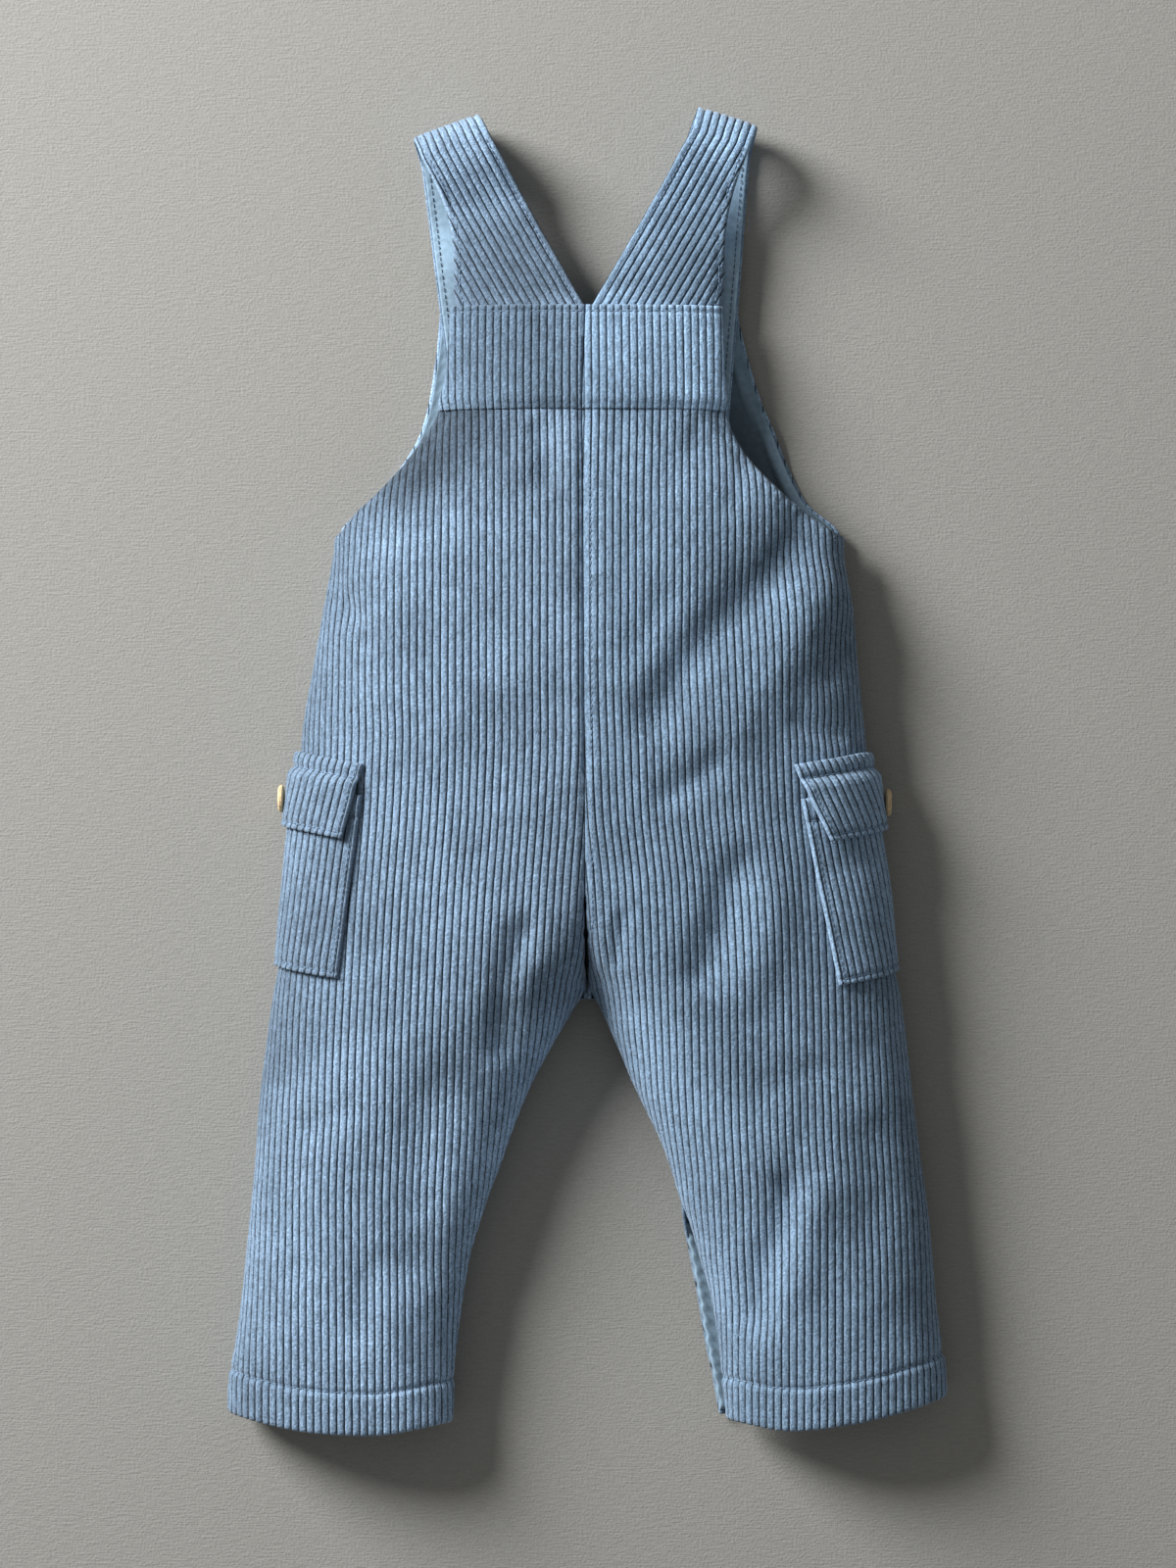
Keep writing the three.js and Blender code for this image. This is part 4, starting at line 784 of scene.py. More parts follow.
def strap_edges(line, q):
    """Place across the strap of its inner and outer edge at q."""
    r = SHOULDER_RADIUS
    plan = np.where(q <= -TURN, q + TURN - r, -r - (q - TURN))
    low = line["inner"] * plan
    high = line["width"] + line["outer"] * plan - np.where(q <= -TURN, bow_at(line, plan), 0)
    under = line["width"] + line["under"] * np.where(q < TURN, -r, plan)
    t = clamp01((q + TURN) / (2 * TURN))
    turn_low, turn_high = line["inner"] * -r, line["width"] + line["outer"] * -r
    below = q > -TURN
    low = np.where(below, mix(turn_low, under - STRAP_UNDER_WIDTH, t), low)
    high = np.where(below, mix(turn_high, under, t), high)
    return low, high


def on_strap(line, q, a, lift):
    """Strap point at q, the length past the shoulder line, and a, the place across it: flat
    above, half a turn of radius r round the shoulder, and flat again beneath."""
    q, a, lift = np.broadcast_arrays(*(np.asarray(v, float) for v in (q, a, lift)))
    r = SHOULDER_RADIUS
    half, shape = line["half"], shape_of(line["half"])
    turn = clamp01((q + TURN) / (2 * TURN))
    tilt = turn * 2 * TURN / r
    plan = np.where(q < TURN, -r + r * np.sin(tilt), -r - (q - TURN))
    plan = np.where(q < -TURN, q + TURN - r, plan)
    z = r + r * np.cos(tilt)

    def at(p, k):
        return line["origin"][k] + a * line["across"][k] + p * line["up"][k]

    x0, y0 = at(plan, 0), at(plan, 1)
    sag = 7 * smooth((-plan - 14) / 26)
    low_y = np.minimum(y0, 199)
    body = on_body(shape, low_y, arc_at(shape, low_y, x0), 0, 0)[0][..., 2]
    over = mix(body, SHOULDER_LIFT - sag, smooth((y0 - 195) / 34))
    beneath = smooth((232 - y0) / 24) * (rest_height(half, x0, y0) + WALL + PLAIN_WALL + 1.2)
    z = np.where(q < -TURN, over, np.where(q >= TURN, beneath, z))
    plan = plan + np.sin(tilt) * lift
    return np.stack([shape["sign"] * at(plan, 0), at(plan, 1), z + np.cos(tilt) * lift], -1)


def strap_net(line, wale, parts):
    """Columns c across the upper strap and rows along it, ends set on the yoke's seam: the
    q of every point, its place across, and the columns kept."""
    lean = np.hypot(1, line["inner"])
    c = wale * PITCH * lean
    r = SHOULDER_RADIUS
    oy, ay, uy = line["origin"][1], line["across"][1], line["up"][1]
    w0, k = line["width"], line["outer"] - line["inner"]
    divisor = line["inner"] * ay + uy
    reach, per = (STRAP_SEAM_Y - oy) / divisor, ay / divisor
    t = parts[:, None]
    widest = w0 - k * r
    limit = widest + 0 * t
    for _ in range(12):  # settles on the column that meets the outer edge
        plan = (1 - t) * (reach - per * limit) - t * r
        limit = w0 + k * plan - bow_at(line, plan)
    c = np.minimum(c[None, :], limit)
    q_over = mix(reach - per * c, -r, t) + r - TURN
    q_under = np.concatenate([
        np.linspace(-TURN, TURN, 25)[1:], np.linspace(TURN, STRAP_END, 46)[1:-1],
        [STRAP_END - 0.8, STRAP_END]])
    c_under = np.minimum(wale * PITCH * lean, widest)[None, :] + 0 * q_under[:, None]
    q = np.concatenate([q_over, q_under[:, None] + 0 * c_under])
    c_all = np.concatenate([c, c_under])
    limits = np.concatenate([limit[:, 0], np.full(len(q_under), widest)])
    low, high = strap_edges(line, q)
    a = np.where(q <= -TURN + 1e-6, low + c_all, mix(low, high, c_all / widest))
    raw = wale[None, :] * PITCH * lean
    inside = raw < limits[:, None] - 0.12
    last = np.minimum(inside.sum(1), len(wale) - 1)
    return q, a, c_all, limits, last, c_all / lean


def strap(half, material):
    """Ribbed above and smooth beneath, where only the lining shows."""
    line = strap_frame(half)
    wale = columns_of(0, 22, FINE) + 0.5
    wale = np.concatenate([[0, 0.12], wale[wale > 0.2]])
    rows = np.concatenate([[0, 0.01], np.linspace(0.025, 1, 50)])
    q, a, c, limits, last, measure = strap_net(line, wale, rows)
    u = measure / PITCH + 0.5
    outer_gap = np.maximum(limits[:, None] - c, 0)
    fade = 1 - smooth((q - TURN + 9) / 8)
    relief = settings().relief * WALE_HEIGHT * ridge(u) * fade * smooth(outer_gap / 1.2)
    relief = relief * smooth(measure / 1.0 + 0.25) * (1 + 0.1 * wander(u * 2, q / 7, 1.0))
    edges = edge_fall(measure, 1.0) + edge_fall(outer_gap, 1.0)
    rim = bell((measure - EDGE_STITCH) / 0.8) + bell((outer_gap - EDGE_STITCH) / 0.8)
    lift = relief * (1 - 0.5 * clamp01(rim)) - 0.35 * rim * fade - 0.5 * edges * fade
    loose = smooth((-q - 18) / 15) * smooth((q + 95) / 12)
    lift = lift + 0.5 * wander(measure / 8, q / 12, 3.0) * loose
    outer = on_strap(line, q, a, lift)
    inner = on_strap(line, q, a, -WALL + 0.25 * edges)
    outer[..., 2] = np.maximum(outer[..., 2], 0.02)
    uv = np.stack([u, q / PITCH], -1)
    name = f"strap_{half}"
    # tone: painted shade along the strap's sagging middle, painted light towards the shoulder's
    # turn and at the yoke, a painted light patch on the left strap and painted shade along the
    # right strap's outer edge; the wander is random nap
    low_tone, spread = (0.62, 0.36) if half == "left" else (0.72, 0.26)
    tone = low_tone + spread * smooth((q + 52) / 26) + 0.14 * smooth((-q - 84) / 12)
    tone = tone + 0.07 * wander(measure / 10, q / 14, 5.0)
    if half == "left":
        tone = tone + 0.6 * bell((q + 34) / 16)
    else:
        tone = tone - 0.14 * bell((measure - 26) / 12) * smooth((-q - 55) / 15)
    obj = shell(cloth(name), outer, inner, uv, material, half == "left", tone, 0, last)
    low, high = strap_edges(line, np.linspace(STRAP_END - STRAP_LENGTH, STRAP_END, 200))
    width, area = float((high - low).max()), float((high - low).mean()) * STRAP_LENGTH
    slot = "corduroy_left" if half == "left" else "corduroy_light"
    return dress(obj, name, slot, width, STRAP_LENGTH, area, ["surface", f"front_{half}"])


def strap_lining(half, material):
    """Lining under the strap's cloth, from the bib's top round the shoulder to its end."""
    line = strap_frame(half)
    t = np.concatenate([[0, 0.015, 0.04], np.linspace(0.08, 0.92, 15), [0.96, 0.985, 1]])[None, :]
    q0 = np.linspace(-125, -TURN, 900)

    def place(q):
        low, high = strap_edges(line, q)
        return mix(low + 1, high - 1, t)

    heights = on_strap(line, q0[:, None], place(q0[:, None]), 0)[..., 1]
    start = q0[(heights >= BIB_TOP_Y).argmax(0)][None, :]
    rows = np.linspace(0, 1, 34)[:, None]
    q = np.concatenate([
        mix(start, -TURN, rows), np.linspace(-TURN, TURN, 20)[1:, None] + 0 * start,
        np.linspace(TURN, STRAP_END - 1, 86)[1:, None] + 0 * start])
    a = place(q)
    edge = np.minimum(t, 1 - t) * 27
    near = bell((edge - 2.2) / 1.6)
    puckers = 0.22 * near * np.sin(q * 1.5 + 2 * np.sin(q / 7)) - 0.3 * near
    puckers = puckers + 0.15 * wander(edge / 3, q / 5, 8.0) - 0.4 * edge_fall(edge, 0.8)
    down = -WALL - LINING_GAP
    outer = on_strap(line, q, a, down)
    inner = on_strap(line, q, a, down - PLAIN_WALL - puckers * smooth((q - TURN) / 10))
    uv = np.stack([a, q], -1)
    name = f"strap_lining_{half}"
    # tone: painted light on the right lining, whose strip lies in shade
    tone = 1.0 if half == "left" else 1.45
    obj = shell(cloth(name), outer, inner, uv, material, half == "left", tone)
    return dress(obj, name, "plain_weave", LINING_WIDTH, LINING_LENGTH,
                 LINING_WIDTH * LINING_LENGTH, [f"strap_{half}"])


def bib_facing(material):
    """Facing over both halves of the bib, on the front's form, so it bends up at the sides."""
    rows = np.concatenate([
        [FACING_BOTTOM_Y, 67.6], np.linspace(69, 193.6, 78), [194.6, BIB_TOP_Y - 1.4]])
    y = rows[:, None]
    t = np.concatenate([[0, 0.008, 0.02], np.linspace(0.04, 0.96, 36), [0.98, 0.992, 1]])[None, :]
    outers, inners, spots, tones, widths = [], [], [], [], []
    for half in HALVES:
        shape = shape_of(half)
        inset = mix(6.0, 1.3, smooth((y - ARMHOLE_FOOT_Y + 4) / 10))
        edge = along(shape, "front_limit", y) - inset
        arc = edge * (1 - t)
        gap = np.minimum(edge - arc, y - FACING_BOTTOM_Y)
        seam = bell((gap - 2.4) / 1.3)
        soft = 0.14 * wander(arc / 5, y / 6, 5.0) + seam * (0.16 * np.sin((arc + y) * 1.1) - 0.3)
        fold = clamp01(wander(arc / 7 + y / 30, y / 17, 2.0)) * smooth((gap - 4) / 6)
        base = -WALL - 0.42 - 1.2 * fold
        outer = on_body(shape, y, arc, base - PLAIN_WALL - soft, 0, "front")[0]
        inner = on_body(shape, y, arc, base, 0, "front")[0]
        spot = np.stack([shape["sign"] * arc, y + 0 * arc], -1)
        turn = slice(None) if half == "left" else slice(None, None, -1)
        outers.append(outer[:, turn])
        inners.append(inner[:, turn])
        spots.append(spot[:, turn])
        # tone: painted shade over the facing, which lies inside the bib, lighter or darker with its
        # folds, with a painted light strip along its edge and a darker line at its seam
        band = 0.4 * smooth((6 - gap) / 1.5) - 0.25 * bell((gap - 5.8) / 0.8)
        tones.append((0.6 + 0.3 * (fold - 0.3) + band)[:, turn])
        widths.append(edge[:, 0])
    outer, inner, uv, tone = (np.concatenate(v, axis=1) for v in (outers, inners, spots, tones))
    obj = shell(cloth("bib_facing"), outer, inner, uv, material, False, tone)
    return dress(obj, "bib_facing", "plain_weave", *cut_of(0, widths[0] + widths[1], rows),
                 ["front_left", "front_right"])


def placket_facing(material):
    """Strip inside the right leg's open inner edge, puckered where it laps the front."""
    shape = shape_of("right")
    y = np.linspace(PLACKET_FOOT_Y, PLACKET_TOP_Y, 56)[:, None]
    inset = np.array([12, 11.4, 10.2, 8.5, 6.8, 5, 3.6, 2.5, 1.5, 0.9, 0.6])[None, :]
    lift = -WALL - 0.55
    pucker = 0.45 * bell((inset - 2.6) / 2.2) * np.sin(y * 1.1 + np.sin(y / 5) + 0.4 * inset)
    outer = on_body(shape, y, inset, lift, 0, "front")[0]
    inner = on_body(shape, y, inset, lift - PLAIN_WALL - pucker, 0, "front")[0]
    turned = 1.1 * smooth((2.2 - inset) / 1.6) * (1 + 0.25 * np.sin(y * 0.9))
    outer[..., 0] -= turned
    inner[..., 0] -= turned
    uv = np.stack([inset + 0 * y, y + 0 * inset], -1)
    name, length = "placket_facing_right", PLACKET_TOP_Y - PLACKET_FOOT_Y
    obj = shell(cloth(name), outer, inner, uv, material, False)
    return dress(obj, name, "plain_weave", PLACKET_WIDTH, length, PLACKET_WIDTH * length,
                 ["front_right"])


# Stitching ---------------------------------------------------------------------------------


def resample(points, normals, pitch):
    """Even steps along a line of points: centres, directions and normals of the stitches."""
    steps = np.hypot.reduce(np.diff(points, axis=0), axis=1)
    total = np.concatenate([[0], np.cumsum(steps)])
    at = np.arange(pitch / 2, total[-1], pitch)

    def pick(values, where):
        return np.stack([np.interp(where, total, values[:, k]) for k in range(3)], -1)

    ahead = pick(points, at + 0.4) - pick(points, at - 0.4)
    ahead /= np.maximum(np.linalg.norm(ahead, axis=1, keepdims=True), 1e-9)
    up = pick(normals, at)
    up -= ahead * (up * ahead).sum(1, keepdims=True)
    up /= np.maximum(np.linalg.norm(up, axis=1, keepdims=True), 1e-9)
    return pick(points, at), ahead, up


def stitches(name, runs, material, long=2.0, radius=0.18):
    """Topstitching: each stitch is a six-sided thread that arches out of the cloth and dips
    in at both ends. runs are (points, normals) along a seam, in mm."""
    pitch = settings().stitch_pitch / MM
    parts = [resample(p, n, pitch) for p, n in runs]
    centre, ahead, up = (np.concatenate([part[k] for part in parts]) for k in range(3))
    side = np.cross(up, ahead)
    along_it = np.array([-0.5, -0.42, -0.2, 0.2, 0.42, 0.5])
    rise = np.array([-1.3, -0.5, 0.35, 0.35, -0.5, -1.3]) * radius
    thick = np.array([0.35, 0.9, 1.0, 1.0, 0.9, 0.35]) * radius
    turn = np.arange(6) * np.pi / 3
    centre, ahead, up, side = (v[:, None, None, :] for v in (centre, ahead, up, side))
    out_by = rise[:, None] + thick[:, None] * np.sin(turn)
    side_by = thick[:, None] * np.cos(turn)
    ring = (centre + ahead * (along_it * long)[:, None, None]
            + up * out_by[..., None] + side * side_by[..., None])
    count = len(centre)
    points = ring.reshape(-1, 3)
    i, j = np.meshgrid(np.arange(5), np.arange(6), indexing="ij")
    i, j = i.ravel(), j.ravel()
    k = (j + 1) % 6
    quads = np.stack([i * 6 + j, i * 6 + k, (i + 1) * 6 + k, (i + 1) * 6 + j], -1)
    tris = np.concatenate([
        quads[:, [0, 1, 2]], quads[:, [0, 2, 3]],
        [[0, n + 1, n] for n in range(1, 5)], [[30, 30 + n, 31 + n] for n in range(1, 5)]])
    faces = (tris[None] + (np.arange(count) * 36)[:, None, None]).reshape(-1, 3)[:, ::-1]
    obj = mesh_object(name, points, faces, np.zeros((len(points), 2)), material)
    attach(obj, "root")
    return obj


def body_line(half, y, arc, lift, folded=1.0, side="back"):
    """A line on the body for stitches, with outward normals found by a small lift."""
    shape = shape_of(half)
    y, arc = np.broadcast_arrays(np.asarray(y, float), np.asarray(arc, float))
    here = on_body(shape, y, arc, lift, folded, side)[0]
    out = on_body(shape, y, arc, lift + 1.0, folded, side)[0]
    return here, out - here


def patch_line(half, rows, w, s, off, lift):
    """A line on a pocket or flap at w across it and s up it."""
    shape = shape_of(half)
    long = rows[0] - rows[1]
    w, s = np.broadcast_arrays(np.asarray(w, float), np.asarray(s, float))
    here = patch_points(shape, rows, w, s / long, lambda y: off(y, w, s), 0 * w + lift)[0]
    out = patch_points(shape, rows, w, s / long, lambda y: off(y, w, s), 0 * w + lift + 1)[0]
    return here, out - here


def body_runs(half):
    """Stitch lines along the yoke's top, beside the right half's back seam and on the hem."""
    shape = shape_of(half)
    arc = np.linspace(1.0, along(shape, "yoke_limit", 190.0) - 1.2, 60)
    runs = [body_line(half, YOKE_TOP_Y - EDGE_STITCH, arc, LAP + PATCH_WALL + 0.15, 0)]
    if half == "right":
        runs.append(body_line(half, np.linspace(-84, YOKE_BOTTOM_Y - 1, 220), 2.9, 0.62))
    above_hem = -258.0
    arc = np.linspace(2.5, along(shape, "side_arc", above_hem) + 1.5, 90)
    foot = on_body(shape, above_hem, arc, 0, 0)[0][:, 0]
    runs.append(body_line(half, hem_at(foot) + HEM_DEPTH, arc, 0.18))
    return runs


def patch_runs(half):
    """Stitch lines down a pocket's and a flap's inner side, along their foot and their band."""
    runs = []
    for rows, width, band, off in (
        (POCKET[half], POCKET_WIDTH, POCKET_BAND, lambda y, w, s: POCKET_LIFT + 0 * w),
        (FLAP[half], FLAP_WIDTH, FLAP_BAND, flap_lift(half)),
    ):
        long = rows[0] - rows[1]
        s = np.linspace(2.2, long - 1, 60)
        w = np.linspace(2.4, min(width - 2.4, 60), 80)
        for at in ((2.4, s), (w, 2.2), (w, long - band)):
            runs.append(patch_line(half, rows, *at, off, 0.42))
    return runs


def strap_line(line, q, a, lift, rise):
    """A line on a strap for stitches, with normals found by a small rise."""
    here = on_strap(line, q, a, lift)
    return here, on_strap(line, q, a, lift + rise) - here


def strap_runs(half):
    line = strap_frame(half)
    q = np.linspace(-96, -TURN, 80)
    low, high = strap_edges(line, q)
    lean = np.hypot(1, line["inner"])
    edges = (low + EDGE_STITCH * lean, high - EDGE_STITCH)
    return [strap_line(line, q, a, 0.4, 1.0) for a in edges]


def lining_runs(half):
    line = strap_frame(half)
    q = np.linspace(TURN, STRAP_END - 3, 120)
    low, high = strap_edges(line, q)
    lift = -WALL - LINING_GAP - PLAIN_WALL
    return [strap_line(line, q, a, lift, -2.0) for a in (low + 3.2, high - 3.2)]


# Materials ---------------------------------------------------------------------------------


def linear(rgb):
    """sRGB numbers from 0 to 255 as linear light."""
    c = np.array(rgb, float) / 255
    return tuple(np.where(c <= 0.04045, c / 12.92, ((c + 0.055) / 1.055) ** 2.4)) + (1.0,)


def shade(base, share):
    return tuple(min(1.0, v * share) for v in base[:3]) + (1.0,)


class Graph:
    """A new material's nodes: each method adds some and gives their output."""

    def __init__(self, name, inputs):
        self.material = bpy.data.materials.new(name)
        self.material.use_nodes = True
        self.tree = self.material.node_tree
        self.tree.nodes.clear()
        self.shader = self.add("BsdfPrincipled", inputs)
        self.add("OutputMaterial", {"Surface": self.shader.outputs[0]})
        self.place = self.add("TexCoord", {}).outputs["Object"]

    def join(self, node, inputs):
        """Sets inputs, each to a value or to another node's output."""
        for key, value in inputs.items():
            if isinstance(value, bpy.types.NodeSocket):
                self.tree.links.new(value, node.inputs[key])
            else:
                node.inputs[key].default_value = value

    def add(self, kind, inputs, **properties):
        node = self.tree.nodes.new("ShaderNode" + kind)
        for key, value in properties.items():
            setattr(node, key, value)
        self.join(node, inputs)
        return node

    def math(self, operation, *values):
        return self.add("Math", dict(enumerate(values)), operation=operation).outputs[0]

    def total(self, *terms):
        """Sum of (output, weight) terms."""
        first, *others = (self.math("MULTIPLY", *term) for term in terms)
        for other in others:
            first = self.math("ADD", first, other)
        return first

    def uv(self):
        return self.add("UVMap", {}, uv_map="UVMap").outputs[0]

    def parts(self, vector):
        return self.add("SeparateXYZ", {0: vector}).outputs

    def tone(self):
        """Painted light and shade, with a little random nap, which each cloth mesh holds."""
        return self.add("Attribute", {}, attribute_name="tone").outputs["Color"]

    def stretch(self, vector, scale):
        return self.add("Mapping", {"Vector": vector, "Scale": scale}).outputs[0]

    def noise(self, vector, scale, detail=2.0, rough=0.5):
        inputs = {"Vector": vector, "Scale": scale, "Detail": detail, "Roughness": rough}
        return self.add("TexNoise", inputs).outputs[0]

    def ramp(self, value, low, high, to_low=0.0, to_high=1.0):
        inputs = {
            "Value": value, "From Min": low, "From Max": high, "To Min": to_low, "To Max": to_high}
        return self.add("MapRange", inputs, interpolation_type="SMOOTHSTEP").outputs[0]

    def blend(self, factor, a, b, kind="MIX"):
        node = self.add("Mix", {}, data_type="RGBA", blend_type=kind)
        self.join(node, {0: factor, 6: a, 7: b})
        return node.outputs[2]

    def shades(self, factor, base, dark, light):
        """From the base colour times dark to the base colour times light."""
        return self.blend(factor, shade(base, dark), shade(base, light))

    def bump(self, height, strength, distance):
        inputs = {"Height": height, "Strength": strength, "Distance": distance}
        self.join(self.shader, {"Normal": self.add("Bump", inputs).outputs[0]})

    def paint(self, colour, *factors):
        """Gives the shader the colour times the factors."""
        for factor in factors:
            colour = self.blend(1.0, colour, factor, "MULTIPLY")
        self.join(self.shader, {"Base Color": colour})


def corduroy(name, base, valley_light=0.03):
    """Ribs by the UV's whole numbers: rounded, with painted shade in the valleys, with a brushed
    nap. The mesh's tone multiplies in painted light and shade.
    """
    graph = Graph(name, {
        "Roughness": 0.92, "Specular IOR Level": 0.12, "Sheen Weight": 0.35,
        "Sheen Roughness": 0.5, "Sheen Tint": (0.74, 0.85, 1.0, 1.0)})
    uv = graph.uv()
    wobble = graph.math("MULTIPLY", graph.math("SUBTRACT", graph.noise(uv, 0.9, 1.0), 0.5), 0.16)
    turn = graph.math("MULTIPLY", graph.math("ADD", graph.parts(uv)[0], wobble), np.pi)
    top = graph.math("POWER", graph.math("ABSOLUTE", graph.math("COSINE", turn)), 0.6)
    streak = graph.noise(graph.stretch(uv, (2.4, 0.55, 1.0)), 1.0, 3.0, 0.6)
    patchy = graph.noise(graph.place, 26.0, 3.0, 0.55)
    fibre = graph.noise(graph.place, 1150.0, 3.0, 0.75)
    tufts = graph.noise(graph.place, 700.0, 2.0, 0.6)
    nap = graph.ramp(graph.total((streak, 0.45), (patchy, 0.35), (tufts, 0.22)), 0.36, 0.66)
    specks = graph.ramp(fibre, 0.34, 0.66, 0.70, 1.38)
    # painted shade in the valleys between the wales, down to valley_light
    valleys = graph.ramp(top, 0.18, 0.69, valley_light, 1.0)
    graph.paint(graph.shades(nap, base, 0.66, 1.34), specks, valleys, graph.tone())
    graph.bump(graph.total((top, 0.1), (tufts, 0.5), (fibre, 0.4)), 0.9, 0.0010)


def plain_weave(name, base):
    """Fine even weave: two crossed thread waves, and a soft slubby tone."""
    graph = Graph(name, {"Roughness": 0.85, "Specular IOR Level": 0.2, "Sheen Weight": 0.08})
    waves = 2 * np.pi / 0.55  # threads every 0.55 mm
    across, down, _ = graph.parts(graph.uv())
    warp, weft = (graph.math("SINE", graph.math("MULTIPLY", v, waves)) for v in (across, down))
    slub, soft = graph.noise(graph.place, 420.0), graph.noise(graph.place, 60.0)
    nap = graph.ramp(graph.total((slub, 0.5), (soft, 0.5)), 0.35, 0.65)
    graph.paint(graph.shades(nap, base, 0.86, 1.12), graph.tone())
    weave = graph.math("MULTIPLY", warp, weft)
    graph.bump(graph.total((weave, 0.2), (slub, 0.5)), 0.5, 0.0003)


def thread(name, base, share=1.0):
    Graph(name, {"Base Color": shade(base, share), "Roughness": 0.7})


def beech(name, base):
    """Turned wood: stretched noise for the grain."""
    graph = Graph(name, {"Roughness": 0.5})
    grain = graph.noise(graph.stretch(graph.place, (900.0, 160.0, 900.0)), 1.0, 4.0, 0.6)
    graph.paint(graph.shades(graph.ramp(grain, 0.3, 0.7), base, 0.72, 1.12))


def backdrop(name, base):
    """Pale painted canvas: fine grain drawn out into short level strokes."""
    graph = Graph(name, {"Roughness": 0.95, "Specular IOR Level": 0.1})
    strokes = graph.noise(graph.stretch(graph.place, (170.0, 1250.0, 1.0)), 1.0)
    grain = graph.math("ADD", strokes, graph.noise(graph.place, 900.0))
    graph.paint(graph.shades(graph.ramp(grain, 0.7, 1.3), base, 0.94, 1.06))
    graph.bump(grain, 0.5, 0.0004)


# The panel's colour, the function and what else it is given
MATERIALS = {
    "Corduroy Left": ("left_colour", corduroy),
    # a little darker than the left: partly nap, partly painted shade for the right half, which
    # faces away from the light
    "Corduroy Right": ("right_colour", corduroy),
    "Corduroy Light": ("light_colour", corduroy),
    # lighter painted shade in its valleys
    "Corduroy Soft": ("light_colour", corduroy, 0.3),
    "Plain Weave": ("plain_colour", plain_weave),
    "Thread": ("thread_colour", thread),
    # thread darkened to 0.42 of its colour: painted shade for the stitch holes along the strap
    # linings
    "Dark Thread": ("thread_colour", thread, 0.42),
    "Beech": ("wood_colour", beech),
    "Backdrop": ("floor_colour", backdrop),
}
BODY_CLOTH = ("Corduroy Left", "Corduroy Right")


def material_of(kind):
    """A named material, made once in the panel's colour."""
    if kind not in bpy.data.materials:
        colour, make, *more = MATERIALS[kind]
        make(kind, tuple(getattr(settings(), colour)), *more)
    return bpy.data.materials[kind]


# Add-on ------------------------------------------------------------------------------------


def share_property(name, description, most):
    return FloatProperty(
        name=name, description=description, default=1.0, min=0.0, max=most, subtype="FACTOR")


def colour_property(name, description, rgb):
    return FloatVectorProperty(
        name=name, description=description, default=linear(rgb)[:3], subtype="COLOR", size=3,
        min=0.0, max=1.0)


class OverallsSettings(bpy.types.PropertyGroup):
    """Sizes and colours of the overalls."""

    relief: share_property("Wale Relief", "Height of the ribs, as a share of the real one", 1.5)
    folds: share_property("Fold Depth", "Depth of the soft folds, as a share of those shown", 1.3)
    stitch_pitch: FloatProperty(
        name="Stitch Spacing", description="Distance from stitch to stitch", default=0.0027,
        min=0.0015, max=0.006, unit="LENGTH")
    left_colour: colour_property("Left Corduroy", "Left half's corduroy", (121, 146, 173))
    # a little darker than the left: partly nap, partly painted shade
    right_colour: colour_property("Right Corduroy", "Right half's corduroy", (113, 138, 164))
    light_colour: colour_property(
        "Light Corduroy", "Corduroy with its nap the other way", (133, 163, 194))
    plain_colour: colour_property("Plain Weave", "Facings and strap linings", (132, 159, 181))
    thread_colour: colour_property("Thread", "Topstitching", (112, 138, 165))
    wood_colour: colour_property("Buttons", "Beech buttons", (216, 192, 152))
    floor_colour: colour_property("Surface", "Surface under the garment", (151, 152, 150))


class OVERALLS_OT_backs(bpy.types.Operator):
    """Builds both back panels, with their folds"""

    bl_idname = "overalls.backs"
    bl_label = "Back Panels"
    bl_options = {"REGISTER", "UNDO"}

    def execute(self, context):
        for half, kind in zip(HALVES, BODY_CLOTH):
            back_panel(half, material_of(kind))
        return {"FINISHED"}


class OVERALLS_OT_fronts(bpy.types.Operator):
    """Builds both front panels, with the bib"""

    bl_idname = "overalls.fronts"
    bl_label = "Front Panels"
    bl_options = {"REGISTER", "UNDO"}

    def execute(self, context):
        for half, kind in zip(HALVES, BODY_CLOTH):
            front_panel(half, material_of(kind))
        return {"FINISHED"}


class OVERALLS_OT_yokes(bpy.types.Operator):
    """Builds both halves of the yoke"""

    bl_idname = "overalls.yokes"
    bl_label = "Yoke"
    bl_options = {"REGISTER", "UNDO"}

    def execute(self, context):
        for half, kind in zip(HALVES, ("Corduroy Right", "Corduroy Soft")):
            yoke_panel(half, material_of(kind))
        return {"FINISHED"}


class OVERALLS_OT_straps(bpy.types.Operator):
    """Builds both straps and their linings"""

    bl_idname = "overalls.straps"
    bl_label = "Straps"
    bl_options = {"REGISTER", "UNDO"}

    def execute(self, context):
        for half, kind in zip(HALVES, ("Corduroy Left", "Corduroy Light")):
            strap(half, material_of(kind))
            strap_lining(half, material_of("Plain Weave"))
        return {"FINISHED"}


class OVERALLS_OT_pockets(bpy.types.Operator):
    """Builds both pockets and their flaps"""

    bl_idname = "overalls.pockets"
    bl_label = "Pockets"
    bl_options = {"REGISTER", "UNDO"}

    def execute(self, context):
        for half, kind in zip(HALVES, BODY_CLOTH):
            pocket(half, material_of(kind))
            flap(half, material_of(kind))
        return {"FINISHED"}


class OVERALLS_OT_facings(bpy.types.Operator):
    """Builds the bib's and the placket's facings"""

    bl_idname = "overalls.facings"
    bl_label = "Facings"
    bl_options = {"REGISTER", "UNDO"}

    def execute(self, context):
        bib_facing(material_of("Plain Weave"))
        placket_facing(material_of("Plain Weave"))
        return {"FINISHED"}


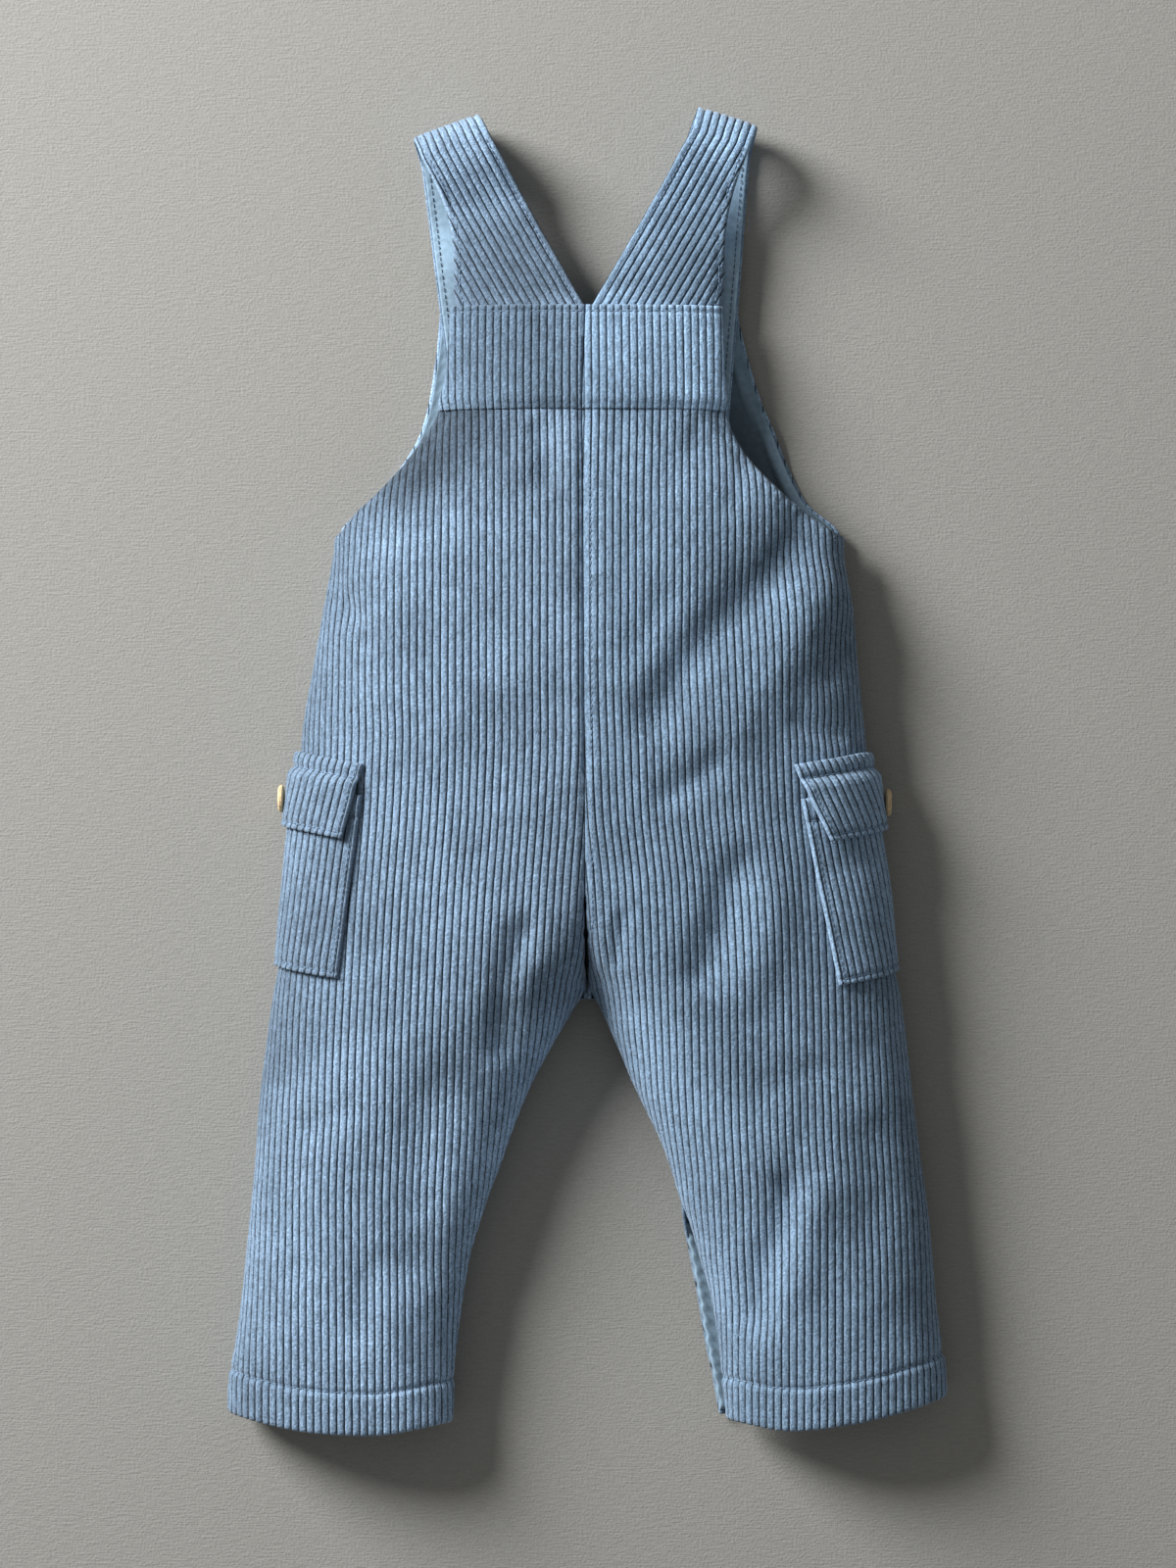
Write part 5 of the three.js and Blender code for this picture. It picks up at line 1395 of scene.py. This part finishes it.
class OVERALLS_OT_buttons(bpy.types.Operator):
    """Gives the CAD's four buttons their wood: they have the right shape, so they stay"""

    bl_idname = "overalls.buttons"
    bl_label = "Buttons"
    bl_options = {"REGISTER", "UNDO"}

    def execute(self, context):
        wood = material_of("Beech")
        for place in ("pocket", "bib"):
            for half in HALVES:
                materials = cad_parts[f"{place}_button_{half}"].data.materials
                for index in range(len(materials)):
                    materials[index] = wood
                if not materials:
                    materials.append(wood)
        return {"FINISHED"}


class OVERALLS_OT_stitching(bpy.types.Operator):
    """Builds the topstitching"""

    bl_idname = "overalls.stitching"
    bl_label = "Stitching"
    bl_options = {"REGISTER", "UNDO"}

    def execute(self, context):
        for half in HALVES:
            runs = body_runs(half) + patch_runs(half) + strap_runs(half)
            stitches(f"stitches_{half}", runs, material_of("Thread"))
            # the linings' stitches get thread darkened with painted shade for their stitch holes
            stitches(f"lining_stitches_{half}", lining_runs(half), material_of("Dark Thread"))
        return {"FINISHED"}


class OVERALLS_OT_stage(bpy.types.Operator):
    """Builds the pale surface, one soft key light from the upper left, a dim sky and the camera"""

    bl_idname = "overalls.stage"
    bl_label = "Stage"
    bl_options = {"REGISTER", "UNDO"}

    def execute(self, context):
        scene = context.scene
        mesh = bpy.data.meshes.new("surface")
        corners = [(-1, -1), (1, -1), (1, 1), (-1, 1)]
        mesh.from_pydata([(FLOOR * x, FLOOR * y, 0) for x, y in corners], [], [(0, 1, 2, 3)])
        mesh.materials.append(material_of("Backdrop"))
        placed("surface", mesh)
        light = bpy.data.lights.new("key", "AREA")
        light.shape, light.size, light.energy, light.color = "DISK", KEY_SIZE, KEY_POWER, KEY_COLOUR
        key = placed("key", light, KEY_PLACE)
        key.rotation_euler = key.location.to_track_quat("Z", "Y").to_euler()
        world = bpy.data.worlds.new("sky")
        world.use_nodes = True
        sky = world.node_tree.nodes["Background"].inputs
        sky[0].default_value, sky[1].default_value = SKY_COLOUR, SKY_STRENGTH
        scene.world = world
        lens = bpy.data.cameras.new("camera")
        lens.lens, lens.sensor_width = FOCAL_LENGTH, SENSOR_WIDTH
        scene.camera = placed("camera", lens, CAMERA_PLACE)
        scene.view_settings.view_transform = "Standard"
        return {"FINISHED"}


OPERATORS = (
    OVERALLS_OT_backs, OVERALLS_OT_fronts, OVERALLS_OT_yokes, OVERALLS_OT_straps,
    OVERALLS_OT_pockets, OVERALLS_OT_facings, OVERALLS_OT_buttons, OVERALLS_OT_stitching,
    OVERALLS_OT_stage,
)


class OVERALLS_PT_panel(bpy.types.Panel):
    """Lists the overalls' settings and pieces"""

    bl_label = "Bib Overalls"
    bl_idname = "OVERALLS_PT_panel"
    bl_space_type = "VIEW_3D"
    bl_region_type = "UI"
    bl_category = "Overalls"

    def draw(self, context):
        for name in OverallsSettings.__annotations__:
            self.layout.prop(context.scene.overalls, name)
        for kind in OPERATORS:
            self.layout.operator(kind.bl_idname)


CLASSES = (OverallsSettings, *OPERATORS, OVERALLS_PT_panel)


def register():
    for kind in CLASSES:
        bpy.utils.register_class(kind)
    bpy.types.Scene.overalls = PointerProperty(type=OverallsSettings)


def unregister():
    del bpy.types.Scene.overalls
    for kind in reversed(CLASSES):
        bpy.utils.unregister_class(kind)


def main():
    register()
    for kind in OPERATORS:
        getattr(bpy.ops.overalls, kind.bl_idname.split(".")[1])()


if __name__ == "__main__":
    main()
